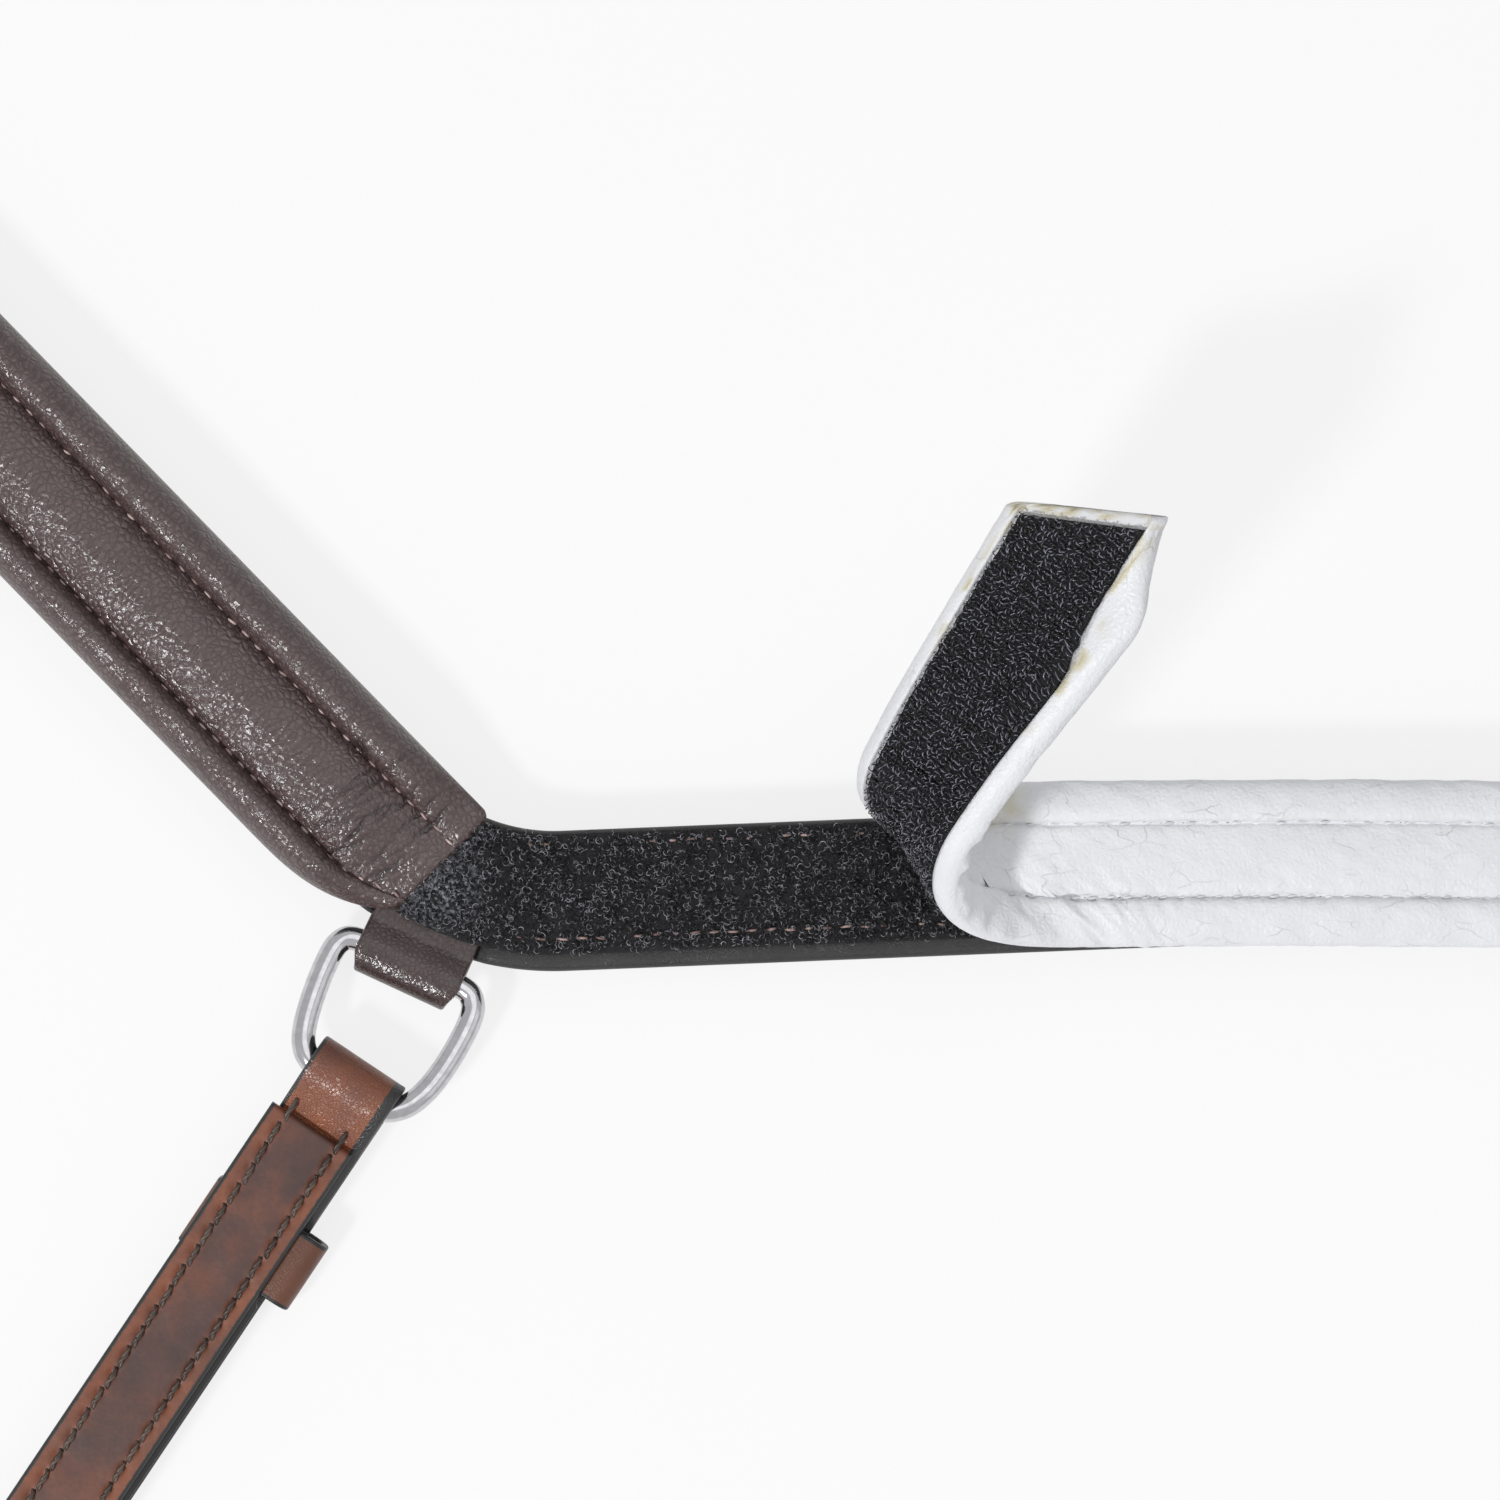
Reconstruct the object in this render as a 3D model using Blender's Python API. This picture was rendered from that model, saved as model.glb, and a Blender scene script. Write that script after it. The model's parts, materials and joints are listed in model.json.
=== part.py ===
"""A noseband lying flat, inner side up: a raised nose strap with padded sides, a white nose pad held by
hook and loop tape and peeled up at its left end, a D ring and a buckled hanger strap at each side, and a
buckle and a holed point that close it under the chin. Metres, +Z up. Every piece of a side is drawn on
the right (+X) and mirrored for the left."""

import math

import bmesh
import bpy
from mathutils import Matrix, Vector

MM = 0.001

# Clearances
GAP = 0.3 * MM  # between pieces that lie on each other
LAYER_GAP = 0.15 * MM  # between the sewn layers of one strap
WIRE_SLACK = 0.35 * MM  # leather turned round a steel bar
CUT_THROUGH = 1.0 * MM  # how far a cutter stands out of what it cuts

# Nose strap, the long outer leather. Its smooth side is down and its crown rests on the ground.
STRAP_WIDTH = 18.6 * MM
STRAP_THICKNESS = 3.0 * MM
STRAP_RAISE = 4.4 * MM
CROWN_FLAT = 8.0 * MM
EDGE_CHAMFER = 0.5 * MM
NOSE_ARC_RADIUS = 200.0 * MM
NOSE_DROOP = math.radians(3.6)
NOSE_RUN = 111.4 * MM
BEND_RADIUS = 33.0 * MM
SIDE_ANGLE = math.radians(44.4)
STRAP_END_TAPER = 8.0 * MM
STRAP_END_CORNER = 1.5 * MM
STRAP_TOP = STRAP_RAISE + STRAP_THICKNESS

# Raised core inside the nose strap
CORE_WIDTH = 7.8 * MM
CORE_SKIN = 1.3 * MM
CORE_STOP = 6.0 * MM  # solid leather between the core's end and the strap's bend

# Hook and loop tape
TAPE_WIDTH = 16.0 * MM
TAPE_OFFSET = 0.9 * MM
LOOP_THICKNESS = 1.2 * MM
HOOK_THICKNESS = 1.0 * MM

# Side pads, soft leather sewn in three channels over foam
SIDE_RUN_IN = 9.9 * MM  # from the side pad's nose end to the end of the strap's bend
SIDE_SHIFT = -0.2 * MM
SIDE_LENGTH = 130.0 * MM
SIDE_HALF = 12.1 * MM
SIDE_NOSE_HALF = 5.6 * MM  # below the middle, where the pad's lower corner is cut away
SIDE_FLARE = 21.0 * MM
SIDE_UPPER_SEAM = 5.8 * MM
SIDE_LOWER_SEAM = -6.7 * MM
SIDE_HEIGHT = 5.4 * MM
SIDE_SEAM_HEIGHT = 2.4 * MM
SIDE_EDGE_HEIGHT = 0.9 * MM
SIDE_END_SWELL = 0.45  # share of the full height that the closed ends keep
SIDE_SWELL_RUN = 16.0 * MM
SIDE_FOAM_WIDTH = 8.4 * MM
SIDE_FOAM_HEIGHT = 2.0 * MM
SIDE_FOAM_INSET = 20.0 * MM

# D rings and the leather loops that carry them
WIRE_RADIUS = 1.6 * MM
RING_TURN = math.radians(27.1)
RING_STANDOFF = 3.15 * MM
LOOP_WIDTH = 14.8 * MM
LOOP_LEATHER = 1.1 * MM
LOOP_TAIL = 4.6 * MM
LOOP_SLACK = 0.9 * MM
# The ring's centre line from the middle of its bar: along the bar, and away from the strap.
RING_OUTLINE = (
    (0.0, 0.0), (7.4, 0.0), (9.3, 1.1), (9.95, 3.6), (9.7, 8.6), (8.9, 13.2), (7.7, 16.5), (6.2, 18.2),
    (4.6, 19.1), (2.5, 19.4), (-0.5, 18.9), (-3.5, 18.2), (-6.4, 17.2), (-8.2, 15.8), (-9.3, 13.6),
    (-10.0, 9.6), (-10.2, 5.0), (-9.7, 1.5), (-7.5, 0.0),
)
RING_FOLD = (-1.2, 18.1)  # the middle of the hanger's fold, in the same terms
RING_STEPS = 3

# Hanger straps: one leather turned over the ring at one end and over a buckle's bar at the other, a lining
# and a filler between them
HANGER_WIDTH = 12.7 * MM
HANGER_LENGTH = 128.0 * MM
HANGER_ANGLE = math.radians(57.5)
HANGER_LEATHER = 1.8 * MM
HANGER_TURNED = 1.3 * MM
HANGER_LINING = 1.6 * MM
HANGER_FOLD = 1.4 * MM  # the leather pared thin round the ring
HANGER_FOLD_ROOM = 1.1 * MM  # round the ring's wire, so that its curve can turn in the fold
HANGER_RAMP = 6.6 * MM
RING_TAIL = 16.2 * MM
BUCKLE_TAIL = 17.0 * MM
TAIL_SKIVE = 3.0 * MM
LINING_START = 7.1 * MM
LINING_STOP = 7.5 * MM
LINING_SHIFT = 1.0 * MM  # the leather shows past the lining on the side towards the nose
FILLER_INSET = 0.2 * MM
KEEPER_WIDTH = 10.0 * MM
KEEPER_LEATHER = 1.1 * MM
KEEPER_ROOM = 3.1 * MM  # for the strap that is pushed through
KEEPER_TAB = 1.2 * MM
KEEPER_BULGE = 3.2 * MM  # the loop stands out on the side towards the nose
KEEPER_FROM_RING = 24.4 * MM
KEEPER_FROM_BUCKLE = 27.0 * MM

# Buckles
BAR_RADIUS = 1.5 * MM
BUCKLE_LENGTH = 14.5 * MM
BUCKLE_SIDE_GAP = 0.7 * MM
BUCKLE_CORNER = 2.4 * MM
BAR_LEATHER = 1.2 * MM
BUCKLE_RAMP = 5.5 * MM
PRONG_THICKNESS = 1.6 * MM
PRONG_GAP = 0.3 * MM
PRONG_OVERHANG = 1.4 * MM
PRONG_SLOT_GAP = 0.5 * MM

# Chin straps: a holed point on the left, a buckle on the right
CHIN_WIDTH = 15.6 * MM
CHIN_THICKNESS = 2.7 * MM
CHIN_TAIL = 18.0 * MM  # sewn in between the nose strap and the side pad
POCKET_SIDE_GAP = 0.3 * MM
POINT_LENGTH = 112.0 * MM
POINT_DROP_START = 6.0 * MM
POINT_DROP_RUN = 34.0 * MM
POINT_TAPER = 12.0 * MM
POINT_TIP = 4.0 * MM
HOLE_RADIUS = 1.9 * MM
HOLE_PITCH = 16.0 * MM
HOLE_COUNT = 4
HOLE_FROM_TIP = 18.0 * MM
CHIN_BAR_RUN = 52.0 * MM
CHIN_TURNED = 1.0 * MM
CHIN_BAR_TAIL = 12.0 * MM
CHIN_KEEPER_PLACE = 21.0 * MM
RUNNER_PLACE = 31.0 * MM
RUNNER_WIDTH = 7.0 * MM
BAND_GAP = 0.3 * MM
BAND_CORNER = 0.4 * MM

# White nose pad, its hook tape and its fold
PAD_HALF = 10.95 * MM
PAD_ROLL = 2.4 * MM
PAD_ARCH = 0.045
PAD_ARCH_START = 45.0 * MM
PAD_RISE = 0.3 * MM
PAD_UPPER_SEAM = 5.3 * MM
PAD_LOWER_SEAM = -4.4 * MM
PAD_SEAM_HEIGHT = 1.3 * MM
PAD_BACK = 1.3 * MM  # from the pad's middle layer down to its flat back, over the hook tape
PAD_ROLL_INNER = 8.4 * MM
PAD_END = 135.6 * MM
PAD_END_SKEW = 0.56
PAD_FOAM_WIDTH = 6.8 * MM
PAD_FOAM_HEIGHT = 1.9 * MM
PAD_FOAM_INSET = 9.0 * MM
PAD_MIDDLE = STRAP_TOP + GAP + LOOP_THICKNESS + GAP + HOOK_THICKNESS + GAP + PAD_BACK
CREASE_PLACES = (68.1 * MM, 77.1 * MM, 86.1 * MM, 113.0 * MM)
CREASE_ANGLES = (math.radians(131.9), math.radians(118.5), math.radians(105.0), math.radians(140.0))
CREASE_TURNS = (math.radians(47.75), math.radians(47.75), math.radians(47.75), math.radians(9.2))
CREASE_EXTRA = 1.12  # each crease can fold this many times its turn at rest

# Leather loops, rings and buckles lie at heights that follow from the layers they join.
LOOP_HEIGHT = STRAP_TOP - LOOP_LEATHER
BAR_HEIGHT = LOOP_HEIGHT - 0.4 * MM
HANGER_BASE = KEEPER_LEATHER + KEEPER_ROOM
HANGER_STACK = HANGER_LEATHER + HANGER_TURNED + LAYER_GAP + HANGER_LINING
FOLD_HEIGHT = HANGER_BASE + HANGER_STACK / 2
HANGER_BAR_HEIGHT = HANGER_BASE + (HANGER_LEATHER + HANGER_TURNED) / 2
CHIN_BASE = STRAP_RAISE + GAP
CHIN_BAR_HEIGHT = CHIN_BASE + (CHIN_THICKNESS + CHIN_TURNED) / 2


# Route of the nose strap

ROUTE = (
    (NOSE_ARC_RADIUS * NOSE_DROOP, -NOSE_DROOP),
    (NOSE_RUN, 0.0),
    (BEND_RADIUS * (NOSE_DROOP + SIDE_ANGLE), NOSE_DROOP + SIDE_ANGLE),
)
BEND_START = ROUTE[0][0] + ROUTE[1][0]
BEND_END = BEND_START + ROUTE[2][0]
RING_RUN = BEND_START + BEND_RADIUS * RING_TURN
STRAP_END = BEND_END - SIDE_RUN_IN + SIDE_LENGTH


def route(run):
    """Point and heading of the strap's middle line this far right of the nose's centre."""
    x = y = heading = 0.0
    for length, turn in ROUTE:
        part = min(run, length)
        angle = turn * part / length
        if turn:
            radius = length / turn
            x += radius * (math.sin(heading + angle) - math.sin(heading))
            y += radius * (math.cos(heading) - math.cos(heading + angle))
        else:
            x += part * math.cos(heading)
            y += part * math.sin(heading)
        heading += angle
        run -= part
    return x + run * math.cos(heading), y + run * math.sin(heading), heading


def strap_point(run, across, height):
    """Point beside the middle line; a negative run is on the left."""
    x, y, heading = route(abs(run))
    x -= across * math.sin(heading)
    y += across * math.cos(heading)
    return Vector((math.copysign(x, run), y, height))


def frame_at(x, y, height, angle):
    """Matrix of a local frame whose x axis lies at this angle in the ground plane."""
    return Matrix.Translation((x, y, height)) @ Matrix.Rotation(angle, 4, "Z")


def side_frame():
    """Frame of a side pad: x along it from its nose end, y across towards its upper edge."""
    x, y, heading = route(BEND_END)
    start = frame_at(x, y, 0.0, heading)
    return start @ Matrix.Translation((-SIDE_RUN_IN, 0.0, 0.0))


def ring_frame():
    """Frame of a ring: x along its bar towards the nose, y away from the strap, through the bar's middle."""
    point = strap_point(RING_RUN, -(STRAP_WIDTH / 2 + RING_STANDOFF), BAR_HEIGHT)
    heading = route(RING_RUN)[2]
    return frame_at(point.x, point.y, point.z, heading + math.pi)


def hanger_frame():
    """Frame of a hanger: x along it from the ring to the buckle, y across, origin in the ring's fold."""
    fold = ring_frame() @ Vector((RING_FOLD[0] * MM, RING_FOLD[1] * MM, 0.0))
    return frame_at(fold.x, fold.y, FOLD_HEIGHT, -HANGER_ANGLE)


# Ways of making a solid

def skin(loops, closed=False):
    """Mesh through loops of points that have the same count, capped unless the last joins the first."""
    mesh = bmesh.new()
    rings = [[mesh.verts.new(point) for point in loop] for loop in loops]
    count = len(rings[0])
    pairs = list(zip(rings, rings[1:]))
    if closed:
        pairs.append((rings[-1], rings[0]))
    for first, second in pairs:
        for i in range(count):
            j = (i + 1) % count
            mesh.faces.new((first[i], first[j], second[j], second[i]))
    if not closed:
        mesh.faces.new(rings[0])
        mesh.faces.new(rings[-1])
    bmesh.ops.recalc_face_normals(mesh, faces=mesh.faces)
    return mesh


def plate(outline, holes, low, high, plane="XZ"):
    """Flat outline with holes, given depth from low to high. An XZ outline has its depth along y."""
    mesh = bmesh.new()
    layers = []
    for depth in (low, high):
        edges = []
        rings = []
        for loop in (outline, *holes):
            if plane == "XZ":
                ring = [mesh.verts.new((a, depth, b)) for a, b in loop]
            elif plane == "YZ":
                ring = [mesh.verts.new((depth, a, b)) for a, b in loop]
            else:
                ring = [mesh.verts.new((a, b, depth)) for a, b in loop]
            rings.append(ring)
            edges += [mesh.edges.new((ring[i - 1], ring[i])) for i in range(len(ring))]
        bmesh.ops.triangle_fill(mesh, use_beauty=True, use_dissolve=False, edges=edges)
        layers.append(rings)
    for bottom, top in zip(*layers):
        for i in range(len(bottom)):
            mesh.faces.new((bottom[i - 1], bottom[i], top[i], top[i - 1]))
    bmesh.ops.recalc_face_normals(mesh, faces=mesh.faces)
    return mesh


def tube(points, radius, sides=8):
    """Closed wire round a flat loop of points."""
    loops = []
    for i, point in enumerate(points):
        tangent = (points[(i + 1) % len(points)] - points[i - 1]).normalized()
        across = tangent.cross(Vector((0, 0, 1))).normalized()
        over = across.cross(tangent)
        turns = [math.tau * (k + 0.5) / sides for k in range(sides)]
        loops.append([point + radius * (math.cos(t) * across + math.sin(t) * over) for t in turns])
    return skin(loops, closed=True)


def arc(x, y, radius, start, end, steps):
    """Points on an arc between two angles in degrees."""
    turns = [math.radians(start + (end - start) * i / steps) for i in range(steps + 1)]
    return [(x + radius * math.cos(t), y + radius * math.sin(t)) for t in turns]


def rounded_rectangle(left, right, bottom, top, radius, steps=3):
    """Outline with quarter-round corners."""
    return (
        arc(right - radius, top - radius, radius, 0, 90, steps)
        + arc(left + radius, top - radius, radius, 90, 180, steps)
        + arc(left + radius, bottom + radius, radius, 180, 270, steps)
        + arc(right - radius, bottom + radius, radius, 270, 360, steps)
    )


def smooth_loop(points, steps):
    """Catmull-Rom curve through a closed loop of points in millimetres."""
    curve = []
    count = len(points)
    for i in range(count):
        a, b, c, d = (Vector((*points[(i + k) % count], 0.0)) * MM for k in (-1, 0, 1, 2))
        for k in range(steps):
            t = k / steps
            curve.append(0.5 * (2 * b + (c - a) * t + (2 * a - 5 * b + 4 * c - d) * t**2
                                + (3 * b - a - 3 * c + d) * t**3))
    return curve


def ease(value):
    """Smooth step from 0 to 1."""
    value = min(max(value, 0.0), 1.0)
    return value * value * (3 - 2 * value)


def channel_tops(lines, heights, crest, swell=1.0, steps=5):
    """Top of a quilted pad from its first line to its last: a half-ellipse of leather over each channel."""
    points = []
    for left, right, low, high in zip(lines, lines[1:], heights, heights[1:]):
        bulge = crest - (low + high) / 2
        for i in range(steps):
            turn = math.pi * i / steps
            share = (1 - math.cos(turn)) / 2
            level = low + (high - low) * share + bulge * math.sin(turn)
            points.append((left + (right - left) * share, level * swell))
    points.append((lines[-1], heights[-1] * swell))
    return points


# Materials

def finish(name, colour, roughness, metallic=0.0):
    """Principled material in one colour."""
    material = bpy.data.materials.new(name)
    material.use_nodes = True
    shader = material.node_tree.nodes["Principled BSDF"]
    shader.inputs["Base Color"].default_value = (*colour, 1.0)
    shader.inputs["Roughness"].default_value = roughness
    shader.inputs["Metallic"].default_value = metallic
    return material


for old in list(bpy.data.objects):
    bpy.data.objects.remove(old)

BLACK_LEATHER = finish("black_leather", (0.012, 0.011, 0.011), 0.45)
BROWN_NAPPA = finish("brown_nappa", (0.09, 0.06, 0.055), 0.5)
BROWN_LOOP = finish("brown_loop_leather", (0.055, 0.035, 0.03), 0.4)
TAN_LEATHER = finish("tan_leather", (0.22, 0.085, 0.035), 0.4)
LINING_LEATHER = finish("lining_leather", (0.1, 0.035, 0.018), 0.5)
WHITE_NAPPA = finish("white_nappa", (0.82, 0.82, 0.83), 0.45)
LOOP_PILE = finish("loop_pile", (0.012, 0.012, 0.013), 0.95)
HOOK_PILE = finish("hook_pile", (0.016, 0.016, 0.018), 0.85)
FOAM = finish("foam", (0.3, 0.29, 0.27), 0.95)
FILLER = finish("filler_leather", (0.16, 0.1, 0.06), 0.8)
STEEL = finish("stainless_steel", (0.62, 0.62, 0.63), 0.18, 1.0)


# Bodies, one empty each on its joint's axis

bodies = {}


def add_body(name, pivot, parent=None):
    """Empty at a body's pivot, under the body that carries it."""
    empty = bpy.data.objects.new(f"{name}_pivot", None)
    bpy.context.collection.objects.link(empty)
    empty.empty_display_size = 0.01
    if parent:
        empty.parent = bodies[parent][0]
        empty.location = pivot - bodies[parent][1]
    else:
        empty.location = pivot
    bodies[name] = (empty, pivot)


def add_piece(name, mesh, material, body="noseband", smooth=30.0):
    """Object on a body, made from a mesh in the part's own coordinates."""
    empty, pivot = bodies[body]
    bmesh.ops.translate(mesh, verts=mesh.verts, vec=-pivot)
    data = bpy.data.meshes.new(name)
    mesh.to_mesh(data)
    mesh.free()
    data.materials.append(material)
    data.shade_smooth()
    data.set_sharp_from_angle(angle=math.radians(smooth))
    piece = bpy.data.objects.new(name, data)
    bpy.context.collection.objects.link(piece)
    piece.parent = empty
    return piece


def cut(piece, mesh, body="noseband"):
    """Cut a mesh out of a piece with a live Boolean."""
    cutter = add_piece(f"{piece.name}_cutter_{len(piece.modifiers)}", mesh, FOAM, body)
    cutter.hide_render = True
    cutter.display_type = "WIRE"
    modifier = piece.modifiers.new("cut", "BOOLEAN")
    modifier.operation = "DIFFERENCE"
    modifier.solver = "EXACT"
    modifier.object = cutter


def placed(mesh, frame, side=1):
    """Mesh moved into a frame of the right side, or mirrored to the left side (-1)."""
    mesh.transform(frame)
    if side < 0:
        mesh.transform(Matrix.Diagonal((-1, 1, 1, 1)))
        bmesh.ops.reverse_faces(mesh, faces=mesh.faces)
    return mesh


def placed_point(frame, point, side=1):
    """Point of a right side frame in the part's coordinates, mirrored for the left side (-1)."""
    world = frame @ Vector(point)
    return Vector((world.x * side, world.y, world.z))


SIDES = (("left", -1), ("right", 1))
add_body("noseband", Vector((0, 0, 0)))


# Nose strap

def strap_section(half, crown):
    """Section across the strap: flat top, chamfered edges and a rounded crown below."""
    foot = CROWN_FLAT / 2
    reach = half - EDGE_CHAMFER - foot
    steps = 4
    lower = []
    for i in range(steps + 1):
        turn = math.pi / 2 * i / steps
        lower.append((foot + reach * math.sin(turn), STRAP_RAISE - crown * math.cos(turn)))
    right = lower + [
        (half, STRAP_RAISE + EDGE_CHAMFER),
        (half, STRAP_TOP - EDGE_CHAMFER),
        (half - EDGE_CHAMFER, STRAP_TOP),
    ]
    return right + [(-across, height) for across, height in reversed(right)]


def strap_stations():
    """Runs at which the right half of the strap is drawn."""
    runs = [NOSE_ARC_RADIUS * NOSE_DROOP * i / 2 for i in range(3)]
    runs += [BEND_START + BEND_RADIUS * (NOSE_DROOP + SIDE_ANGLE) * i / 10 for i in range(11)]
    runs += [STRAP_END - STRAP_END_TAPER * share for share in (1.0, 0.6, 0.25, 0.0)]
    return runs


def strap_loop(run):
    """Section of the strap at a run, its crown dying away at the very ends."""
    left = max(STRAP_END - abs(run), 0.0)
    share = ease(left / STRAP_END_TAPER)
    half = STRAP_WIDTH / 2 - STRAP_END_CORNER * (1 - share)
    section = strap_section(half, STRAP_RAISE * (0.35 + 0.65 * share))
    return [strap_point(run, across, height) for across, height in section]


right_runs = strap_stations()
outer_strap = add_piece(
    "outer_strap",
    skin([strap_loop(-run) for run in reversed(right_runs[1:])] + [strap_loop(run) for run in right_runs]),
    BLACK_LEATHER,
)


def core_sweep(widen, low, high, longer):
    """Bar along the middle of the nose, for the core and for the channel it fills."""
    end = BEND_START - CORE_STOP + longer
    half = CORE_WIDTH / 2 + widen
    arc_end = NOSE_ARC_RADIUS * NOSE_DROOP
    runs = [-end, -arc_end, -arc_end / 2, 0.0, arc_end / 2, arc_end, end]
    corners = ((half, low), (half, high), (-half, high), (-half, low))
    return skin([[strap_point(run, across, height) for across, height in corners] for run in runs])


cut(outer_strap, core_sweep(LAYER_GAP, CORE_SKIN, STRAP_TOP + CUT_THROUGH, GAP))
add_piece("strap_core", core_sweep(0.0, CORE_SKIN + LAYER_GAP, STRAP_TOP, 0.0), FILLER)


# Ring loops, each a leather strip round the ring's bar with its tails in a pocket of the strap

def loop_outline():
    """Side view of a ring loop in the ring's frame: outline and eye."""
    inner = WIRE_RADIUS + WIRE_SLACK
    outer = inner + LOOP_LEATHER
    tail = -(RING_STANDOFF + LOOP_TAIL)
    edge = -RING_STANDOFF - GAP
    top = LOOP_HEIGHT - BAR_HEIGHT + LOOP_LEATHER
    bottom = top - 2 * LOOP_LEATHER
    outline = [(tail, bottom), (tail, top), (edge, top)]
    outline += arc(0.0, 0.0, outer, 130, 90, 3)
    outline += arc(LOOP_SLACK, 0.0, outer, 90, -90, 10)
    outline += arc(0.0, 0.0, outer, -90, -130, 3)
    outline.append((edge, bottom))
    eye = arc(0.0, 0.0, inner, 90, 270, 8) + arc(LOOP_SLACK, 0.0, inner, -90, 90, 8)
    return outline, eye


def across_ring(mesh):
    """Turn a side view drawn in x and z so that its x runs away from the strap."""
    mesh.transform(Matrix.Rotation(math.pi / 2, 4, "Z"))
    return mesh


POCKET_FLOOR = LOOP_HEIGHT - LOOP_LEATHER - GAP - BAR_HEIGHT
for side_name, side in SIDES:
    outline, eye = loop_outline()
    add_piece(
        f"ring_loop_{side_name}",
        placed(across_ring(plate(outline, [eye], -LOOP_WIDTH / 2, LOOP_WIDTH / 2)), ring_frame(), side),
        BROWN_LOOP,
    )
    deep = -(RING_STANDOFF + LOOP_TAIL + GAP)
    high = STRAP_TOP + CUT_THROUGH - BAR_HEIGHT
    pocket = [(deep, POCKET_FLOOR), (0.0, POCKET_FLOOR), (0.0, high), (deep, high)]
    half = LOOP_WIDTH / 2 + GAP
    cut(outer_strap, placed(across_ring(plate(pocket, [], -half, half)), ring_frame(), side))


# Loop tape on the nose strap, cut at the slant of the side pads' ends

def tape_end(across):
    """Run at which a line along the strap meets the side pad's nose end."""
    frame = side_frame().inverted()
    low = BEND_START - 2 * STRAP_WIDTH
    high = BEND_END
    for _ in range(40):
        middle = (low + high) / 2
        if (frame @ strap_point(middle, across, 0.0)).x < -GAP:
            low = middle
        else:
            high = middle
    return low


def tape_sweep():
    """Loop tape as a flat band; each of its long edges is drawn in equal steps up to the slanted ends."""
    low = STRAP_TOP + GAP
    high = low + LOOP_THICKNESS
    edges = (TAPE_OFFSET + TAPE_WIDTH / 2, TAPE_OFFSET - TAPE_WIDTH / 2)
    steps = 24
    loops = []
    for i in range(-steps, steps + 1):
        upper, lower = (strap_point(tape_end(edge) * i / steps, edge, 0.0) for edge in edges)
        loops.append([
            upper + Vector((0, 0, low)), upper + Vector((0, 0, high)),
            lower + Vector((0, 0, high)), lower + Vector((0, 0, low)),
        ])
    return skin(loops)


add_piece("loop_tape", tape_sweep(), LOOP_PILE)


# Side pads

def side_section(along):
    """Section of a side pad: its outline and how far it swells."""
    flare = max(1 - along / SIDE_FLARE, 0.0) ** 3
    lower = -(SIDE_HALF - (SIDE_HALF - SIDE_NOSE_HALF) * flare)
    chin = ease((SIDE_LENGTH - along) / SIDE_SWELL_RUN)
    upper = SIDE_HALF * (0.84 + 0.16 * chin)
    lower *= 0.84 + 0.16 * chin
    swell = SIDE_END_SWELL + (1 - SIDE_END_SWELL) * min(ease(along / SIDE_SWELL_RUN), chin)
    seam = max(SIDE_LOWER_SEAM, lower * 0.62)
    lines = (lower, seam, SIDE_UPPER_SEAM, upper)
    heights = (SIDE_EDGE_HEIGHT, SIDE_SEAM_HEIGHT, SIDE_SEAM_HEIGHT, SIDE_EDGE_HEIGHT)
    top = channel_tops(lines, heights, SIDE_HEIGHT, swell)
    return [(lower, 0.0)] + top + [(upper, 0.0)]


def side_pad():
    """Side pad in its own frame, lying on the strap."""
    base = STRAP_TOP + GAP
    shares = [0.0, 0.25, 0.6, 1.0, 1.5, 2.2, 3.2]
    near = [SIDE_SWELL_RUN * share / 2 for share in shares]
    far = [SIDE_LENGTH - along for along in reversed(near)]
    middle = [near[-1] + (far[0] - near[-1]) * i / 6 for i in range(1, 6)]
    return skin([
        [(along, SIDE_SHIFT + across, base + height) for across, height in side_section(along)]
        for along in near + middle + far
    ])


def foam_bar(start, end, centre, width, low, high):
    """Plain foam strip along x."""
    half = width / 2
    corners = ((centre - half, low), (centre + half, low), (centre + half, high), (centre - half, high))
    return skin([[(along, across, height) for across, height in corners] for along in (start, end)])


for side_name, side in SIDES:
    pad = add_piece(f"side_pad_{side_name}", placed(side_pad(), side_frame(), side), BROWN_NAPPA, smooth=60)
    seam_middle = SIDE_SHIFT + (SIDE_UPPER_SEAM + SIDE_LOWER_SEAM) / 2
    start = SIDE_FOAM_INSET
    end = SIDE_LENGTH - SIDE_FOAM_INSET
    base = STRAP_TOP + GAP
    hollow = foam_bar(
        start - GAP, end + GAP, seam_middle, SIDE_FOAM_WIDTH + 2 * LAYER_GAP,
        base - CUT_THROUGH, base + SIDE_FOAM_HEIGHT + LAYER_GAP,
    )
    cut(pad, placed(hollow, side_frame(), side))
    foam = foam_bar(start, end, seam_middle, SIDE_FOAM_WIDTH, base, base + SIDE_FOAM_HEIGHT)
    add_piece(f"side_foam_{side_name}", placed(foam, side_frame(), side), FOAM)


# Steel rings

ring_curve = smooth_loop(RING_OUTLINE, RING_STEPS)
ring_slope = (FOLD_HEIGHT - BAR_HEIGHT) / (RING_FOLD[1] * MM)
ring_curve = [Vector((point.x, point.y, point.y * ring_slope)) for point in ring_curve]
for side_name, side in SIDES:
    body = f"ring_{side_name}"
    add_body(body, placed_point(ring_frame(), (0, 0, 0), side), "noseband")
    add_piece(body, placed(tube(ring_curve, WIRE_RADIUS), ring_frame(), side), STEEL, body)


# Buckled straps

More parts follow.
